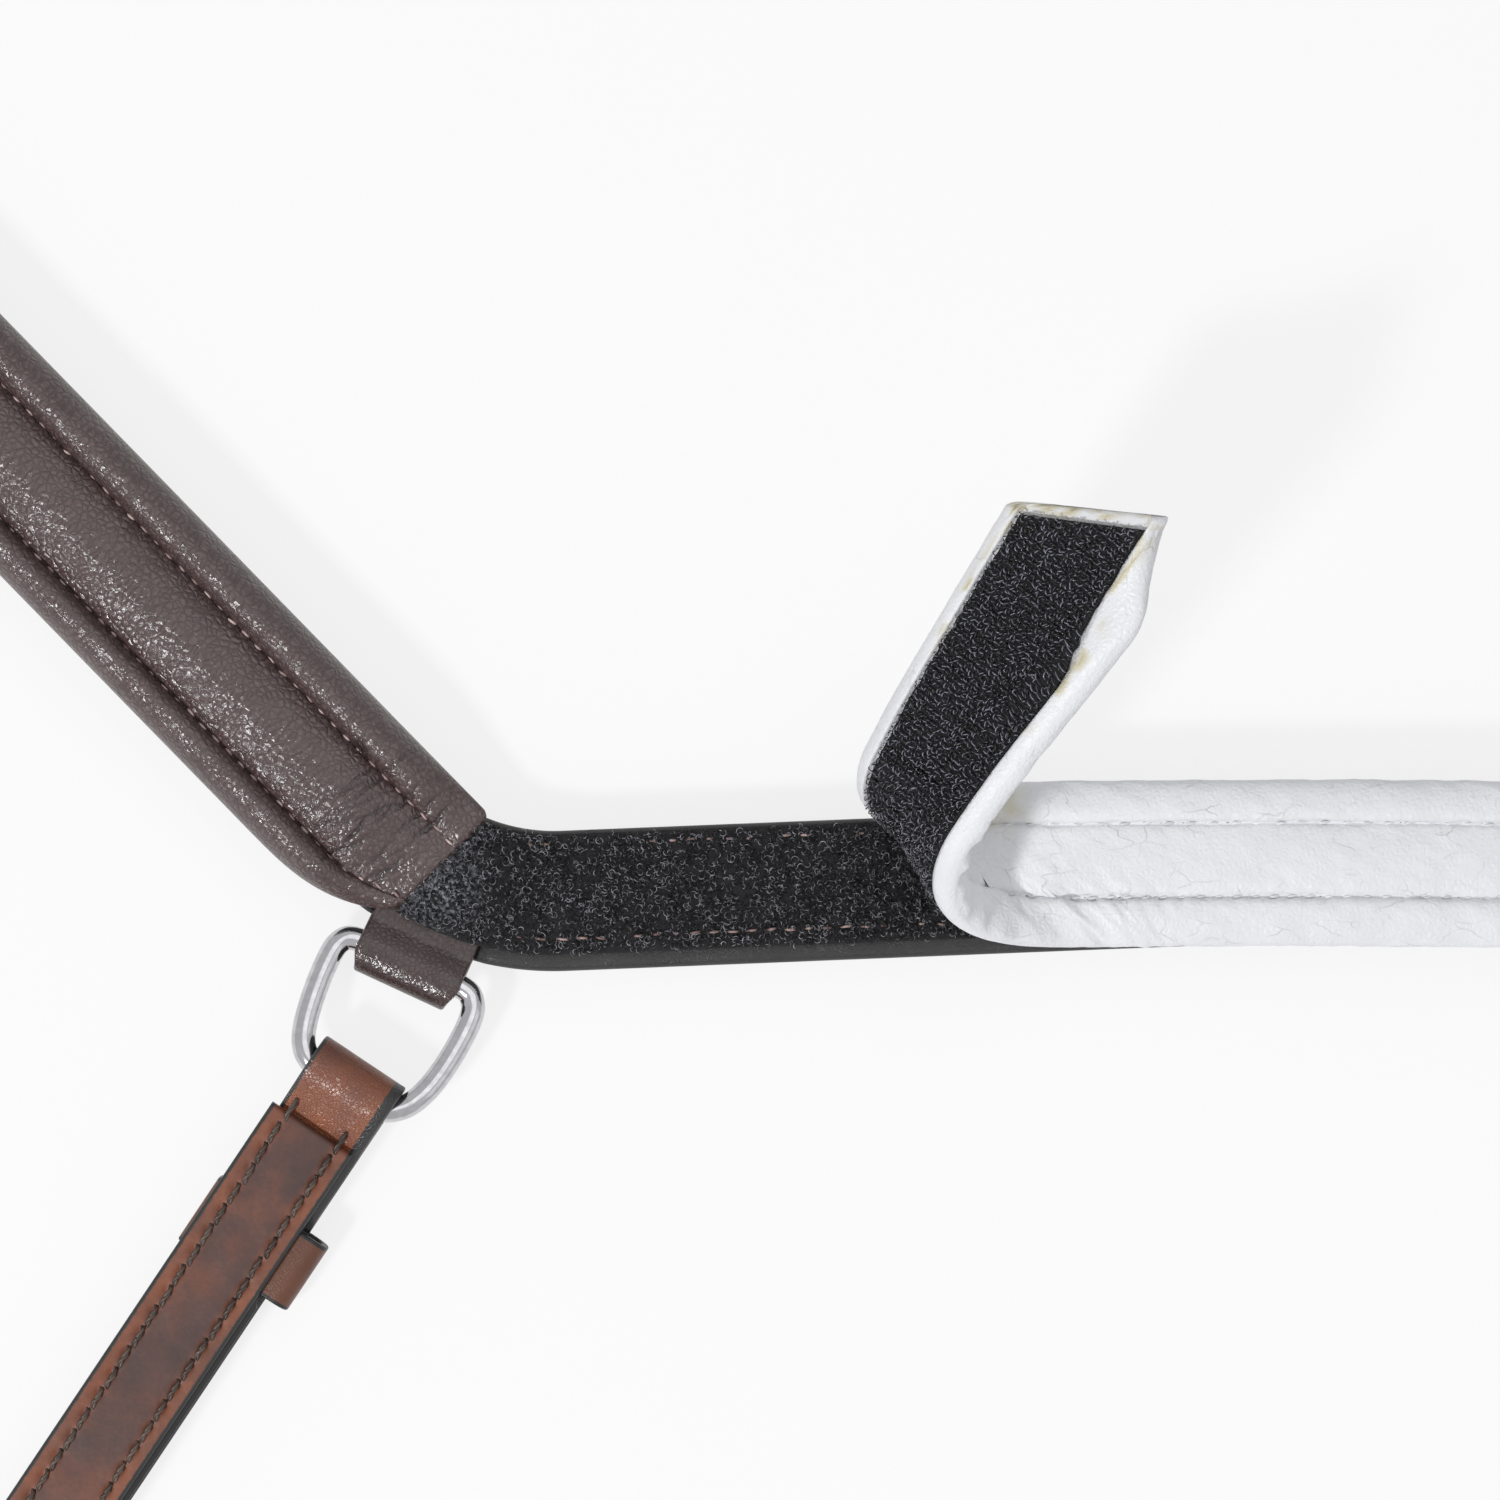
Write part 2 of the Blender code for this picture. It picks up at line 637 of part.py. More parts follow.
def turned_end(bar, height, base, leather, turned, ramp):
    """Outline points of a leather turned over a buckle's bar, from its lower face round to its upper face,
    and the eye round the bar."""
    inner = BAR_RADIUS + WIRE_SLACK
    outer = inner + BAR_LEATHER
    points = [(bar - ramp, base)]
    points += arc(bar, height, outer, -100, 100, 10)
    points.append((bar - ramp, base + leather + turned))
    eye = arc(bar, height, inner, -120, 120, 9)
    eye.append((bar - ramp + 1.5 * MM, base + leather))
    return points, eye


def buckle_frame(half_width):
    """Wire frame of a buckle in the strap's frame, its bar on the y axis."""
    half = half_width + BUCKLE_SIDE_GAP + BAR_RADIUS
    outline = rounded_rectangle(0.0, BUCKLE_LENGTH, -half, half, BUCKLE_CORNER, 4)
    return tube([Vector((x, y, 0.0)) for x, y in outline], BAR_RADIUS)


PRONG_EYE = BAR_RADIUS + PRONG_GAP + PRONG_THICKNESS


def prong():
    """Prong below the frame: an eye round the bar and a straight arm to the far side."""
    near = BAR_RADIUS + PRONG_GAP
    tip = BUCKLE_LENGTH + BAR_RADIUS + PRONG_OVERHANG
    outline = arc(0.0, 0.0, PRONG_EYE, 0, 270, 12)
    outline += [(tip - PRONG_THICKNESS, -PRONG_EYE), (tip, -near - 0.6 * PRONG_THICKNESS), (tip, -near)]
    outline.append((PRONG_EYE, -near))
    half = PRONG_THICKNESS / 2
    return plate(outline, [arc(0.0, 0.0, near, 0, 330, 11)], -half, half)


def prong_slot(height):
    """Cutter for the slot that the prong's eye needs in the turned leather."""
    deep = PRONG_EYE + PRONG_SLOT_GAP
    half = PRONG_THICKNESS / 2 + PRONG_SLOT_GAP
    outline = [(-deep, height - deep), (deep, height - deep), (deep, height + deep), (-deep, height + deep)]
    return plate(outline, [], -half, half)


def shifted(mesh, x, z=0.0):
    """Mesh moved along a strap's frame."""
    mesh.transform(Matrix.Translation((x, 0.0, z)))
    return mesh


def band(half_width, low, high, leather, width):
    """Leather loop round a strap, its opening centred on y."""
    outer = rounded_rectangle(
        -half_width - leather, half_width + leather, low - leather, high + leather, BAND_CORNER + leather
    )
    inner = rounded_rectangle(-half_width, half_width, low, high, BAND_CORNER)
    return plate(outer, [inner], -width / 2, width / 2, "YZ")


# Hangers, drawn in the hanger's frame with heights from the fold's middle

LEVEL = HANGER_BASE - FOLD_HEIGHT
LEATHER_TOP = LEVEL + HANGER_LEATHER
TAIL_TOP = LEATHER_TOP + HANGER_TURNED
LINING_BASE = TAIL_TOP + LAYER_GAP
HALF = HANGER_WIDTH / 2


def hanger_leather():
    """Main leather of a hanger, from the ring's fold to the buckle's."""
    inner = WIRE_RADIUS + HANGER_FOLD_ROOM
    outer = inner + HANGER_FOLD
    end, eye = turned_end(
        HANGER_LENGTH, HANGER_BAR_HEIGHT - FOLD_HEIGHT, LEVEL, HANGER_LEATHER, HANGER_TURNED, BUCKLE_RAMP
    )
    outline = arc(0.0, 0.0, outer, 80, 280, 14)
    outline.append((HANGER_RAMP, LEVEL))
    outline += end
    outline += [
        (HANGER_LENGTH - BUCKLE_TAIL, TAIL_TOP),
        (HANGER_LENGTH - BUCKLE_TAIL - TAIL_SKIVE, LEATHER_TOP),
        (RING_TAIL + TAIL_SKIVE, LEATHER_TOP),
        (RING_TAIL, TAIL_TOP),
        (HANGER_RAMP, TAIL_TOP),
    ]
    fold = arc(0.0, 0.0, inner, 60, 300, 12)
    fold.append((HANGER_RAMP - 1.8 * MM, LEATHER_TOP))
    return plate(outline, [fold, eye], -HALF, HALF)


def filler_outline():
    """Plan of the filler, full width but for notches that take the keepers' ends."""
    start = RING_TAIL + TAIL_SKIVE + GAP
    end = HANGER_LENGTH - BUCKLE_TAIL - TAIL_SKIVE - GAP
    wide = HALF - FILLER_INSET
    narrow = HALF - KEEPER_TAB - GAP
    upper = [(start, wide)]
    for centre in (KEEPER_FROM_RING, HANGER_LENGTH - KEEPER_FROM_BUCKLE):
        near = max(centre - KEEPER_WIDTH / 2 - GAP, start)
        far = min(centre + KEEPER_WIDTH / 2 + GAP, end)
        if near > start:
            upper.append((near, wide))
        else:
            upper.pop()
        upper.append((near, narrow))
        upper.append((far, narrow))
        if far < end:
            upper.append((far, wide))
    if upper[-1][0] < end:
        upper.append((end, wide))
    return upper + [(x, -y) for x, y in reversed(upper)]


def hanger_keeper():
    """Keeper sewn in at both edges and looping under the strap, slack on the side towards the nose."""
    leather = KEEPER_LEATHER
    middle = LEATHER_TOP + (HANGER_TURNED + LAYER_GAP) / 2
    top = middle + leather / 2
    under = middle - leather / 2
    floor = LEVEL - KEEPER_ROOM
    tab = HALF - KEEPER_TAB
    near = HALF + GAP
    far = HALF + KEEPER_BULGE - leather
    corner = 1.2 * MM
    outer = [(tab, top)]
    outer += arc(near + leather - corner, top - corner, corner, 90, 0, 3)
    outer += arc(near + leather - corner, floor - leather + corner, corner, 0, -90, 3)
    outer += arc(-far - leather + 2 * corner, floor - leather + 2 * corner, 2 * corner, 270, 180, 4)
    outer += arc(-far - leather + 2 * corner, top - 2 * corner, 2 * corner, 180, 90, 4)
    outer.append((-tab, top))
    inner = [(-tab, under), (-near, under)]
    inner += arc(-far + corner, under - corner, corner, 90, 180, 2)
    inner += arc(-far + corner, floor + corner, corner, 180, 270, 2)
    inner += [(near, floor), (near, under), (tab, under)]
    return plate(outer + inner, [], -KEEPER_WIDTH / 2, KEEPER_WIDTH / 2, "YZ")


for side_name, side in SIDES:
    frame = hanger_frame()
    body = f"hanger_{side_name}"
    add_body(body, placed_point(frame, (0, 0, 0), side), f"ring_{side_name}")
    leather = add_piece(f"hanger_leather_{side_name}", placed(hanger_leather(), frame, side), TAN_LEATHER, body)
    slot = shifted(prong_slot(HANGER_BAR_HEIGHT - FOLD_HEIGHT), HANGER_LENGTH)
    cut(leather, placed(slot, frame, side), body)
    lining = [
        (LINING_START, LINING_BASE), (HANGER_LENGTH - LINING_STOP, LINING_BASE),
        (HANGER_LENGTH - LINING_STOP, LINING_BASE + HANGER_LINING),
        (LINING_START, LINING_BASE + HANGER_LINING),
    ]
    add_piece(
        f"hanger_lining_{side_name}",
        placed(plate(lining, [], LINING_SHIFT - HALF, LINING_SHIFT + HALF), frame, side),
        LINING_LEATHER, body,
    )
    filler = plate(filler_outline(), [], LEATHER_TOP + LAYER_GAP, TAIL_TOP, "XY")
    add_piece(f"hanger_filler_{side_name}", placed(filler, frame, side), FILLER, body)
    for keeper, place in (("ring", KEEPER_FROM_RING), ("buckle", HANGER_LENGTH - KEEPER_FROM_BUCKLE)):
        add_piece(
            f"{keeper}_keeper_{side_name}",
            placed(shifted(hanger_keeper(), place), frame, side), TAN_LEATHER, body,
        )
    bar = (HANGER_LENGTH, 0, HANGER_BAR_HEIGHT - FOLD_HEIGHT)
    for piece, mesh, carrier in (
        ("hanger_buckle", buckle_frame(HALF), body), ("hanger_prong", prong(), f"hanger_buckle_{side_name}"),
    ):
        name = f"{piece}_{side_name}"
        add_body(name, placed_point(frame, bar, side), carrier)
        add_piece(name, placed(shifted(mesh, bar[0], bar[2]), frame, side), STEEL, name)


# Chin straps, drawn in the side pad's frame

CHIN_HALF = CHIN_WIDTH / 2
TAIL_START = SIDE_LENGTH - CHIN_TAIL
CHIN_BAR = SIDE_LENGTH + CHIN_BAR_RUN


def chin_pocket():
    """Cutter for the pocket in the strap's end that takes a chin strap's tail."""
    half = CHIN_HALF + POCKET_SIDE_GAP
    start = TAIL_START - GAP
    end = SIDE_LENGTH + SIDE_RUN_IN
    outline = [(start, -half), (end, -half), (end, half), (start, half)]
    return plate(outline, [], STRAP_RAISE, STRAP_TOP + CUT_THROUGH, "XY")


for side_name, side in SIDES:
    cut(outer_strap, placed(chin_pocket(), side_frame(), side))


def point_strap():
    """Left chin strap: it drops from the strap's layers to the ground and ends in a point."""
    end = SIDE_LENGTH + POINT_LENGTH
    drop_start = SIDE_LENGTH + POINT_DROP_START
    stations = [TAIL_START, drop_start]
    stations += [drop_start + POINT_DROP_RUN * i / 8 for i in range(1, 9)]
    stations += [end - POINT_TAPER, end - POINT_TAPER / 2, end - POINT_TAPER / 6, end]
    loops = []
    for along in stations:
        low = CHIN_BASE * (1 - ease((along - drop_start) / POINT_DROP_RUN))
        share = max((along - end + POINT_TAPER) / POINT_TAPER, 0.0)
        half = CHIN_HALF - (CHIN_HALF - POINT_TIP / 2) * share**2
        high = low + CHIN_THICKNESS
        loops.append([(along, -half, low), (along, half, low), (along, half, high), (along, -half, high)])
    return skin(loops)


def point_holes():
    """Cutters for the row of round holes."""
    mesh = bmesh.new()
    end = SIDE_LENGTH + POINT_LENGTH - HOLE_FROM_TIP
    depth = CHIN_THICKNESS + 2 * CUT_THROUGH
    for i in range(HOLE_COUNT):
        place = Matrix.Translation((end - i * HOLE_PITCH, 0.0, CHIN_THICKNESS / 2))
        bmesh.ops.create_cone(
            mesh, cap_ends=True, segments=12, radius1=HOLE_RADIUS, radius2=HOLE_RADIUS, depth=depth,
            matrix=place,
        )
    return mesh


point = add_piece("chin_point_strap", placed(point_strap(), side_frame(), -1), BLACK_LEATHER)
cut(point, placed(point_holes(), side_frame(), -1))


def buckle_strap():
    """Right chin strap, turned over the buckle's bar."""
    end, eye = turned_end(CHIN_BAR, CHIN_BAR_HEIGHT, CHIN_BASE, CHIN_THICKNESS, CHIN_TURNED, BUCKLE_RAMP)
    top = CHIN_BASE + CHIN_THICKNESS
    outline = [(TAIL_START, top), (TAIL_START, CHIN_BASE)] + end
    outline += [(CHIN_BAR - CHIN_BAR_TAIL, top + CHIN_TURNED), (CHIN_BAR - CHIN_BAR_TAIL - TAIL_SKIVE, top)]
    return plate(outline, [eye], -CHIN_HALF, CHIN_HALF)


chin = add_piece("chin_buckle_strap", placed(buckle_strap(), side_frame()), BLACK_LEATHER)
cut(chin, placed(shifted(prong_slot(CHIN_BAR_HEIGHT), CHIN_BAR), side_frame()))
BAND_HALF = CHIN_HALF + BAND_GAP
BAND_LOW = CHIN_BASE - KEEPER_ROOM
BAND_HIGH = CHIN_BASE + CHIN_THICKNESS + BAND_GAP
keeper_band = band(BAND_HALF, BAND_LOW, BAND_HIGH, KEEPER_LEATHER, RUNNER_WIDTH)
add_piece(
    "chin_keeper", placed(shifted(keeper_band, CHIN_BAR - CHIN_KEEPER_PLACE), side_frame()), BLACK_LEATHER
)
add_body("chin_runner", placed_point(side_frame(), (CHIN_BAR - RUNNER_PLACE, 0, CHIN_BASE)), "noseband")
runner_band = band(BAND_HALF, BAND_LOW, BAND_HIGH, KEEPER_LEATHER, RUNNER_WIDTH)
add_piece(
    "chin_runner", placed(shifted(runner_band, CHIN_BAR - RUNNER_PLACE), side_frame()), BLACK_LEATHER,
    "chin_runner",
)
for name, mesh, carrier in (
    ("chin_buckle", buckle_frame(CHIN_HALF), "noseband"), ("chin_prong", prong(), "chin_buckle"),
):
    add_body(name, placed_point(side_frame(), (CHIN_BAR, 0, CHIN_BAR_HEIGHT)), carrier)
    add_piece(name, placed(shifted(mesh, CHIN_BAR, CHIN_BAR_HEIGHT), side_frame()), STEEL, name)


# Nose pad, drawn flat and then cut and folded at its creases

def pad_line(x):
    """Height in plan of the pad's middle line."""
    return PAD_RISE - PAD_ARCH * (math.hypot(x, PAD_ARCH_START) - PAD_ARCH_START)


def pad_sweep(section, end, skew, steps=16):
    """Flat strip along the pad's middle line with slanted ends."""
    loops = []
    for i in range(-steps, steps + 1):
        x = end * i / steps
        loops.append([
            (x * (1 - skew * across / end), pad_line(x) + across, PAD_MIDDLE + height)
            for across, height in section
        ])
    return skin(loops)


def cover_section():
    """Section of the pad's leather: quilted top, rolled edges and a flat back over the hook tape."""
    lines = (-PAD_HALF, PAD_LOWER_SEAM, PAD_UPPER_SEAM, PAD_HALF)
    heights = (0.0, PAD_SEAM_HEIGHT, PAD_SEAM_HEIGHT, 0.0)
    top = channel_tops(lines, heights, PAD_ROLL)
    roll = PAD_HALF - PAD_ROLL_INNER
    under = []
    for turn in (30, 60, 90):
        angle = math.radians(turn)
        under.append((PAD_ROLL_INNER + roll * math.cos(angle), -PAD_ROLL * math.sin(angle)))
    under.append((PAD_ROLL_INNER, -PAD_BACK))
    return top + under + [(-across, height) for across, height in reversed(under)]


def box_section(half, low, high):
    """Rectangle across the strip."""
    return [(-half, low), (-half, high), (half, high), (half, low)]


def creases():
    """Point, axis and outward direction of each crease in the flat pad."""
    found = []
    for place, angle in zip(CREASE_PLACES, CREASE_ANGLES):
        axis = Vector((math.cos(angle), math.sin(angle), 0.0))
        outward = Vector((-axis.y, axis.x, 0.0))
        found.append((Vector((-place, pad_line(place), PAD_MIDDLE)), axis, outward))
    return found


def fold(count):
    """Matrix that folds what lies beyond this many creases."""
    matrix = Matrix.Identity(4)
    for (point, axis, _), turn in zip(creases()[:count], CREASE_TURNS):
        hinge = Matrix.Translation(point) @ Matrix.Rotation(turn, 4, axis) @ Matrix.Translation(-point)
        matrix = matrix @ hinge
    return matrix


def slice_off(mesh, point, normal):
    """Take away what lies beyond a plane and close the cut."""
    everything = list(mesh.verts) + list(mesh.edges) + list(mesh.faces)
    found = bmesh.ops.bisect_plane(
        mesh, geom=everything, plane_co=point, plane_no=normal, clear_outer=True, dist=1e-7
    )
    edges = [item for item in found["geom_cut"] if isinstance(item, bmesh.types.BMEdge)]
    bmesh.ops.triangle_fill(mesh, use_beauty=True, use_dissolve=False, edges=edges)
    bmesh.ops.recalc_face_normals(mesh, faces=mesh.faces)


def folded(mesh, segment, inset=0.0):
    """Cut one segment out of the flat strip and fold it into place. Above the middle layer the cuts are
    mitred for the fold, and below it they are upright, so that the pad can also lie flat."""
    found = creases()
    for index, sign in ((segment - 1, -1), (segment, 1)):
        if 0 <= index < len(found):
            point, _, outward = found[index]
            half_turn = CREASE_TURNS[index] * CREASE_EXTRA / 2
            leaning = outward * math.cos(half_turn) * sign + Vector((0, 0, math.sin(half_turn)))
            clear = (LAYER_GAP / 2 + inset) * outward * sign
            slice_off(mesh, point - clear, leaning)
            slice_off(mesh, point - clear, outward * sign)
    mesh.transform(fold(segment))
    return mesh


def pad_cover():
    """Whole pad leather, laid flat."""
    return pad_sweep(cover_section(), PAD_END, PAD_END_SKEW)


def pad_foam(widen, low, high, inset):
    """Foam strip in the pad's middle channel, or with a widening the hollow for it."""
    half = PAD_FOAM_WIDTH / 2 + widen
    return pad_sweep(box_section(half, low, high), PAD_END - inset, PAD_END_SKEW)


def pad_hooks():
    """Whole hook tape, laid flat."""
    top = -PAD_BACK - GAP
    return pad_sweep(box_section(TAPE_WIDTH / 2, top - HOOK_THICKNESS, top), PAD_END, PAD_END_SKEW)


FOAM_TOP = PAD_FOAM_HEIGHT - PAD_BACK
SEGMENTS = ("noseband", "pad_fold_1", "pad_fold_2", "pad_fold_3", "pad_tongue")
for segment, body in enumerate(SEGMENTS):
    label = "nose_pad" if segment == 0 else body
    if segment:
        add_body(body, fold(segment) @ creases()[segment - 1][0], SEGMENTS[segment - 1])
    cover = add_piece(f"{label}_cover", folded(pad_cover(), segment), WHITE_NAPPA, body, smooth=60)
    add_piece(f"{label}_hook_tape", folded(pad_hooks(), segment), HOOK_PILE, body)
    if segment in (0, 3, 4):
        inset = PAD_ROLL
        hollow = pad_foam(LAYER_GAP, -PAD_BACK - CUT_THROUGH, FOAM_TOP + LAYER_GAP, PAD_FOAM_INSET - GAP)
        cut(cover, folded(hollow, segment, inset - GAP), body)
        foam = pad_foam(0.0, -PAD_BACK, FOAM_TOP, PAD_FOAM_INSET)
        add_piece(f"{label}_foam", folded(foam, segment, inset), FOAM, body)
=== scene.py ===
import json
import math

import bmesh
import bpy
import numpy as np
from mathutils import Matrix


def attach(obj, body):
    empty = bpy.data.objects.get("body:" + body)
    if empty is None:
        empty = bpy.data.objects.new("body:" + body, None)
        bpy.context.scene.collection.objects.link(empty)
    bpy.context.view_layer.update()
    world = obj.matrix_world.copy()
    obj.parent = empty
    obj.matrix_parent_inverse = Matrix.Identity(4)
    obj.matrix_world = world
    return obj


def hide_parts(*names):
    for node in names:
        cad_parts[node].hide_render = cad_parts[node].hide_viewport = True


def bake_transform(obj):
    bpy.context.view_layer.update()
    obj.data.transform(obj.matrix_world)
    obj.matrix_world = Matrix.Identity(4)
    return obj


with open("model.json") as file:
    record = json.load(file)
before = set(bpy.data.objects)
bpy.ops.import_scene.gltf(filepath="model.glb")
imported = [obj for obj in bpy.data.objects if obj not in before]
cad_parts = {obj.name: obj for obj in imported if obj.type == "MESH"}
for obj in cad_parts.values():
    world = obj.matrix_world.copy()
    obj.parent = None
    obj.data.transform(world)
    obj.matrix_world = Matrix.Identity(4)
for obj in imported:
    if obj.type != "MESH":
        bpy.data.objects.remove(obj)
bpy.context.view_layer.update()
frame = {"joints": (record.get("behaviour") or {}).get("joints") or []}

MM = 0.001


# The studio: a pale table under a large soft lamp, with a lower lamp at the left that picks out the
# leather's grain. The camera looks straight down on the left part of the laid-out noseband.

CAMERA_PLACE = (-0.09953, 0.01316, 1.0)
CAMERA_TURN = math.radians(1.3)
FIELD_AT_TABLE = 0.19841
SENSOR = 36.0
PHOTO_HEIGHT = 0.992  # from the lens down to the leather's face
TABLE_HALF = 4.0
TABLE_DROP = 0.4 * MM
WHITE = (1, 1, 1, 1)


def put(name, data):
    """New object in the scene."""
    made = bpy.data.objects.new(name, data)
    bpy.context.scene.collection.objects.link(made)
    return made


def lamp(name, place, aim, size, power):
    """Square soft lamp at a place, turned to a point."""
    light = bpy.data.lights.new(name, "AREA")
    light.size = size
    light.energy = power
    made = put(name, light)
    made.location = place
    away = np.array(place) - np.array(aim)
    flat = math.hypot(away[0], away[1])
    made.rotation_euler = (math.atan2(flat, away[2]), 0, math.atan2(away[0], -away[1]))


def feed(tree, socket, value):
    """Give a socket a link, a number or a colour."""
    if isinstance(value, bpy.types.NodeSocket):
        tree.links.new(value, socket)
    else:
        socket.default_value = value


def add(tree, kind, values, **settings):
    """Shader node of a kind, with its settings and its inputs by name or number."""
    made = tree.nodes.new("ShaderNode" + kind)
    for key, value in settings.items():
        setattr(made, key, value)
    for name, value in values.items():
        feed(tree, made.inputs[name], value)
    return made


def figure(tree, kind, first, second=0.0):
    """Arithmetic on two values."""
    return add(tree, "Math", {0: first, 1: second}, operation=kind).outputs[0]


def spread(tree, value, low, high, to_low=0.0, to_high=1.0):
    """A value stretched from one range to another and held at its ends."""
    values = {"Value": value, "From Min": low, "From Max": high, "To Min": to_low, "To Max": to_high}
    return add(tree, "MapRange", values).outputs[0]


def srgb(red, green, blue):
    """Linear colour of an 8-bit display colour."""
    shares = np.array((red, green, blue)) / 255
    linear = np.where(shares > 0.04045, ((shares + 0.055) / 1.055) ** 2.4, shares / 12.92)
    return (*linear.tolist(), 1.0)


def dress(tree, **looks):
    """Give a material's shader its looks, by the names of its sockets with _ for a space."""
    for name, value in looks.items():
        feed(tree, tree.nodes["Principled BSDF"].inputs[name.replace("_", " ")], value)


def finish(name, roughness, specular=0.5, metallic=0.0):
    """New material and its tree."""
    material = bpy.data.materials.new(name)
    material.use_nodes = True
    dress(material.node_tree, Roughness=roughness, Metallic=metallic, Specular_IOR_Level=specular)
    return material, material.node_tree


camera = put("camera", bpy.data.cameras.new("camera"))
camera.location = CAMERA_PLACE
camera.rotation_euler = (0, 0, CAMERA_TURN)
camera.data.sensor_width = SENSOR
camera.data.lens = SENSOR * PHOTO_HEIGHT / FIELD_AT_TABLE
camera.data.clip_end = 20
bpy.context.scene.camera = camera
bpy.context.scene.view_settings.view_transform = "Standard"

lamp("overhead", (0.25, 0.35, 1.5), (0, 0, 0), 1.3, 4.0)
lamp("low_left", (-0.72, -0.6, 1.0), (-0.1, 0, 0), 0.17, 8.8)
lamp("right_fill", (0.9, -0.5, 0.9), (0, 0, 0), 0.9, 0.8)

world = bpy.data.worlds.new("studio")
bpy.context.scene.world = world
world.use_nodes = True
tree = world.node_tree
ray = add(tree, "LightPath", {}).outputs
seen = spread(tree, ray["Is Camera Ray"], 0.0, 1.0, 0.38, 0.95)
mirrored = spread(tree, ray["Is Glossy Ray"], 0.0, 1.0, 0.0, 0.26)
sky = tree.nodes["Background"].inputs
feed(tree, sky["Color"], WHITE)
feed(tree, sky["Strength"], figure(tree, "ADD", seen, mirrored))

table = bpy.data.meshes.new("table")
corners = [(TABLE_HALF * x, TABLE_HALF * y, -TABLE_DROP) for x, y in ((-1, -1), (1, -1), (1, 1), (-1, 1))]
table.from_pydata(corners, [], [(0, 1, 2, 3)])
paper, tree = finish("table_paper", 0.9, 0.1)
dress(tree, Base_Color=srgb(243, 243, 244))
ray = add(tree, "LightPath", {}).outputs
seen = figure(tree, "MAXIMUM", ray["Is Camera Ray"], ray["Is Glossy Ray"])
lit = tree.nodes["Principled BSDF"].outputs[0]
glow = add(tree, "Emission", {"Color": WHITE, "Strength": 1.0}).outputs[0]
mixed = add(tree, "MixShader", {0: spread(tree, seen, 0.0, 1.0, 0.0, 0.8), 1: lit, 2: glow}).outputs[0]
feed(tree, tree.nodes["Material Output"].inputs["Surface"], mixed)
table.materials.append(paper)
put("table", table)


# The nose strap: one long black bridle leather, raised along its middle and rounded at its edges. Its
# smooth side is down. It runs nearly straight across the nose and turns up at each side.

STRAP_HALF = 9.3 * MM
STRAP_RAISE = 4.4 * MM
STRAP_TOP = 7.4 * MM
STRAP_EDGE = 1.1 * MM
CROWN_FLAT = 4.0 * MM
NOSE_RADIUS = 200.0 * MM
NOSE_DROOP = math.radians(3.6)
NOSE_RUN = 111.4 * MM
BEND_RADIUS = 33.0 * MM
SIDE_ANGLE = math.radians(44.4)
STRETCHES = (
    (NOSE_RADIUS * NOSE_DROOP, -NOSE_DROOP),
    (NOSE_RUN, 0.0),
    (BEND_RADIUS * (NOSE_DROOP + SIDE_ANGLE), NOSE_DROOP + SIDE_ANGLE),
    (1.0, 0.0),
)
BEND_START = STRETCHES[0][0] + STRETCHES[1][0]
BEND_END = BEND_START + STRETCHES[2][0]
SIDE_LENGTH = 130.0 * MM
SIDE_RUN_IN = 9.9 * MM
STRAP_END = BEND_END - SIDE_RUN_IN + SIDE_LENGTH
STRAP_STEP = 1.6 * MM
END_RUN = 8 * MM
LOOP_HALF = 7.4 * MM
LOOP_POCKET = (0.5 * MM, 8.2 * MM, 1.5 * MM)  # past the loop's edge, in from the ring's bar, and deep
BRIDLE_BLACKS = (srgb(38, 37, 38), srgb(52, 51, 52))


def route(run):
    """Middle line of the nose strap at runs from the nose's centre: on a stretch that turns, x and y grow
    by the chord of the arc so far, and on a straight one by its length."""
    run = np.abs(np.asarray(run, float))
    x, y, heading = (np.zeros_like(run) for _ in range(3))
    for length, turn in STRETCHES:
        part = np.clip(run, 0, length)
        run = run - part
        if turn:
            radius = length / turn
            end = heading + part / radius
            x = x + radius * (np.sin(end) - np.sin(heading))
            y = y + radius * (np.cos(heading) - np.cos(end))
            heading = end
        else:
            x = x + part * np.cos(heading)
            y = y + part * np.sin(heading)
    return x, y, heading


def together(*values):
    """Arrays broadcast to one shape, as the coordinates of points."""
    return np.stack(np.broadcast_arrays(*values), -1)


def beside(run, across, height):
    """Points beside the strap's middle line: the line's point, moved across it by its normal. A negative
    run is on the left, where x is mirrored."""
    x, y, heading = route(run)
    mirror = np.where(np.asarray(run) < 0, -1.0, 1.0)
    return together(mirror * (x - across * np.sin(heading)), y + across * np.cos(heading), height)


def eased(value):
    """Smooth step from 0 to 1."""
    value = np.clip(value, 0, 1)
    return value * value * (3 - 2 * value)


def signed_volume(mesh):
    """Volume inside a mesh: the sum of the six-fold volumes of the fans of its faces, over six. It is
    negative where the faces point inwards."""
    points = np.empty(len(mesh.vertices) * 3)
    mesh.vertices.foreach_get("co", points)
    points = points.reshape(-1, 3) - points.reshape(-1, 3).mean(0)
    mesh.calc_loop_triangles()
    corners = np.empty(len(mesh.loop_triangles) * 3, int)
    mesh.loop_triangles.foreach_get("vertices", corners)
    a, b, c = points[corners.reshape(-1, 3)].transpose(1, 0, 2)
    return float((a * np.cross(b, c)).sum() / 6)


def solid(name, mesh, body, material):
    """Piece from a mesh, smooth and with its faces outwards, that rides on a body if one is given."""
    mesh.shade_smooth()
    if signed_volume(mesh) < 0:
        mesh.flip_normals()
    mesh.materials.append(material)
    made = put(name, mesh)
    if body:
        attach(made, body)
    return made


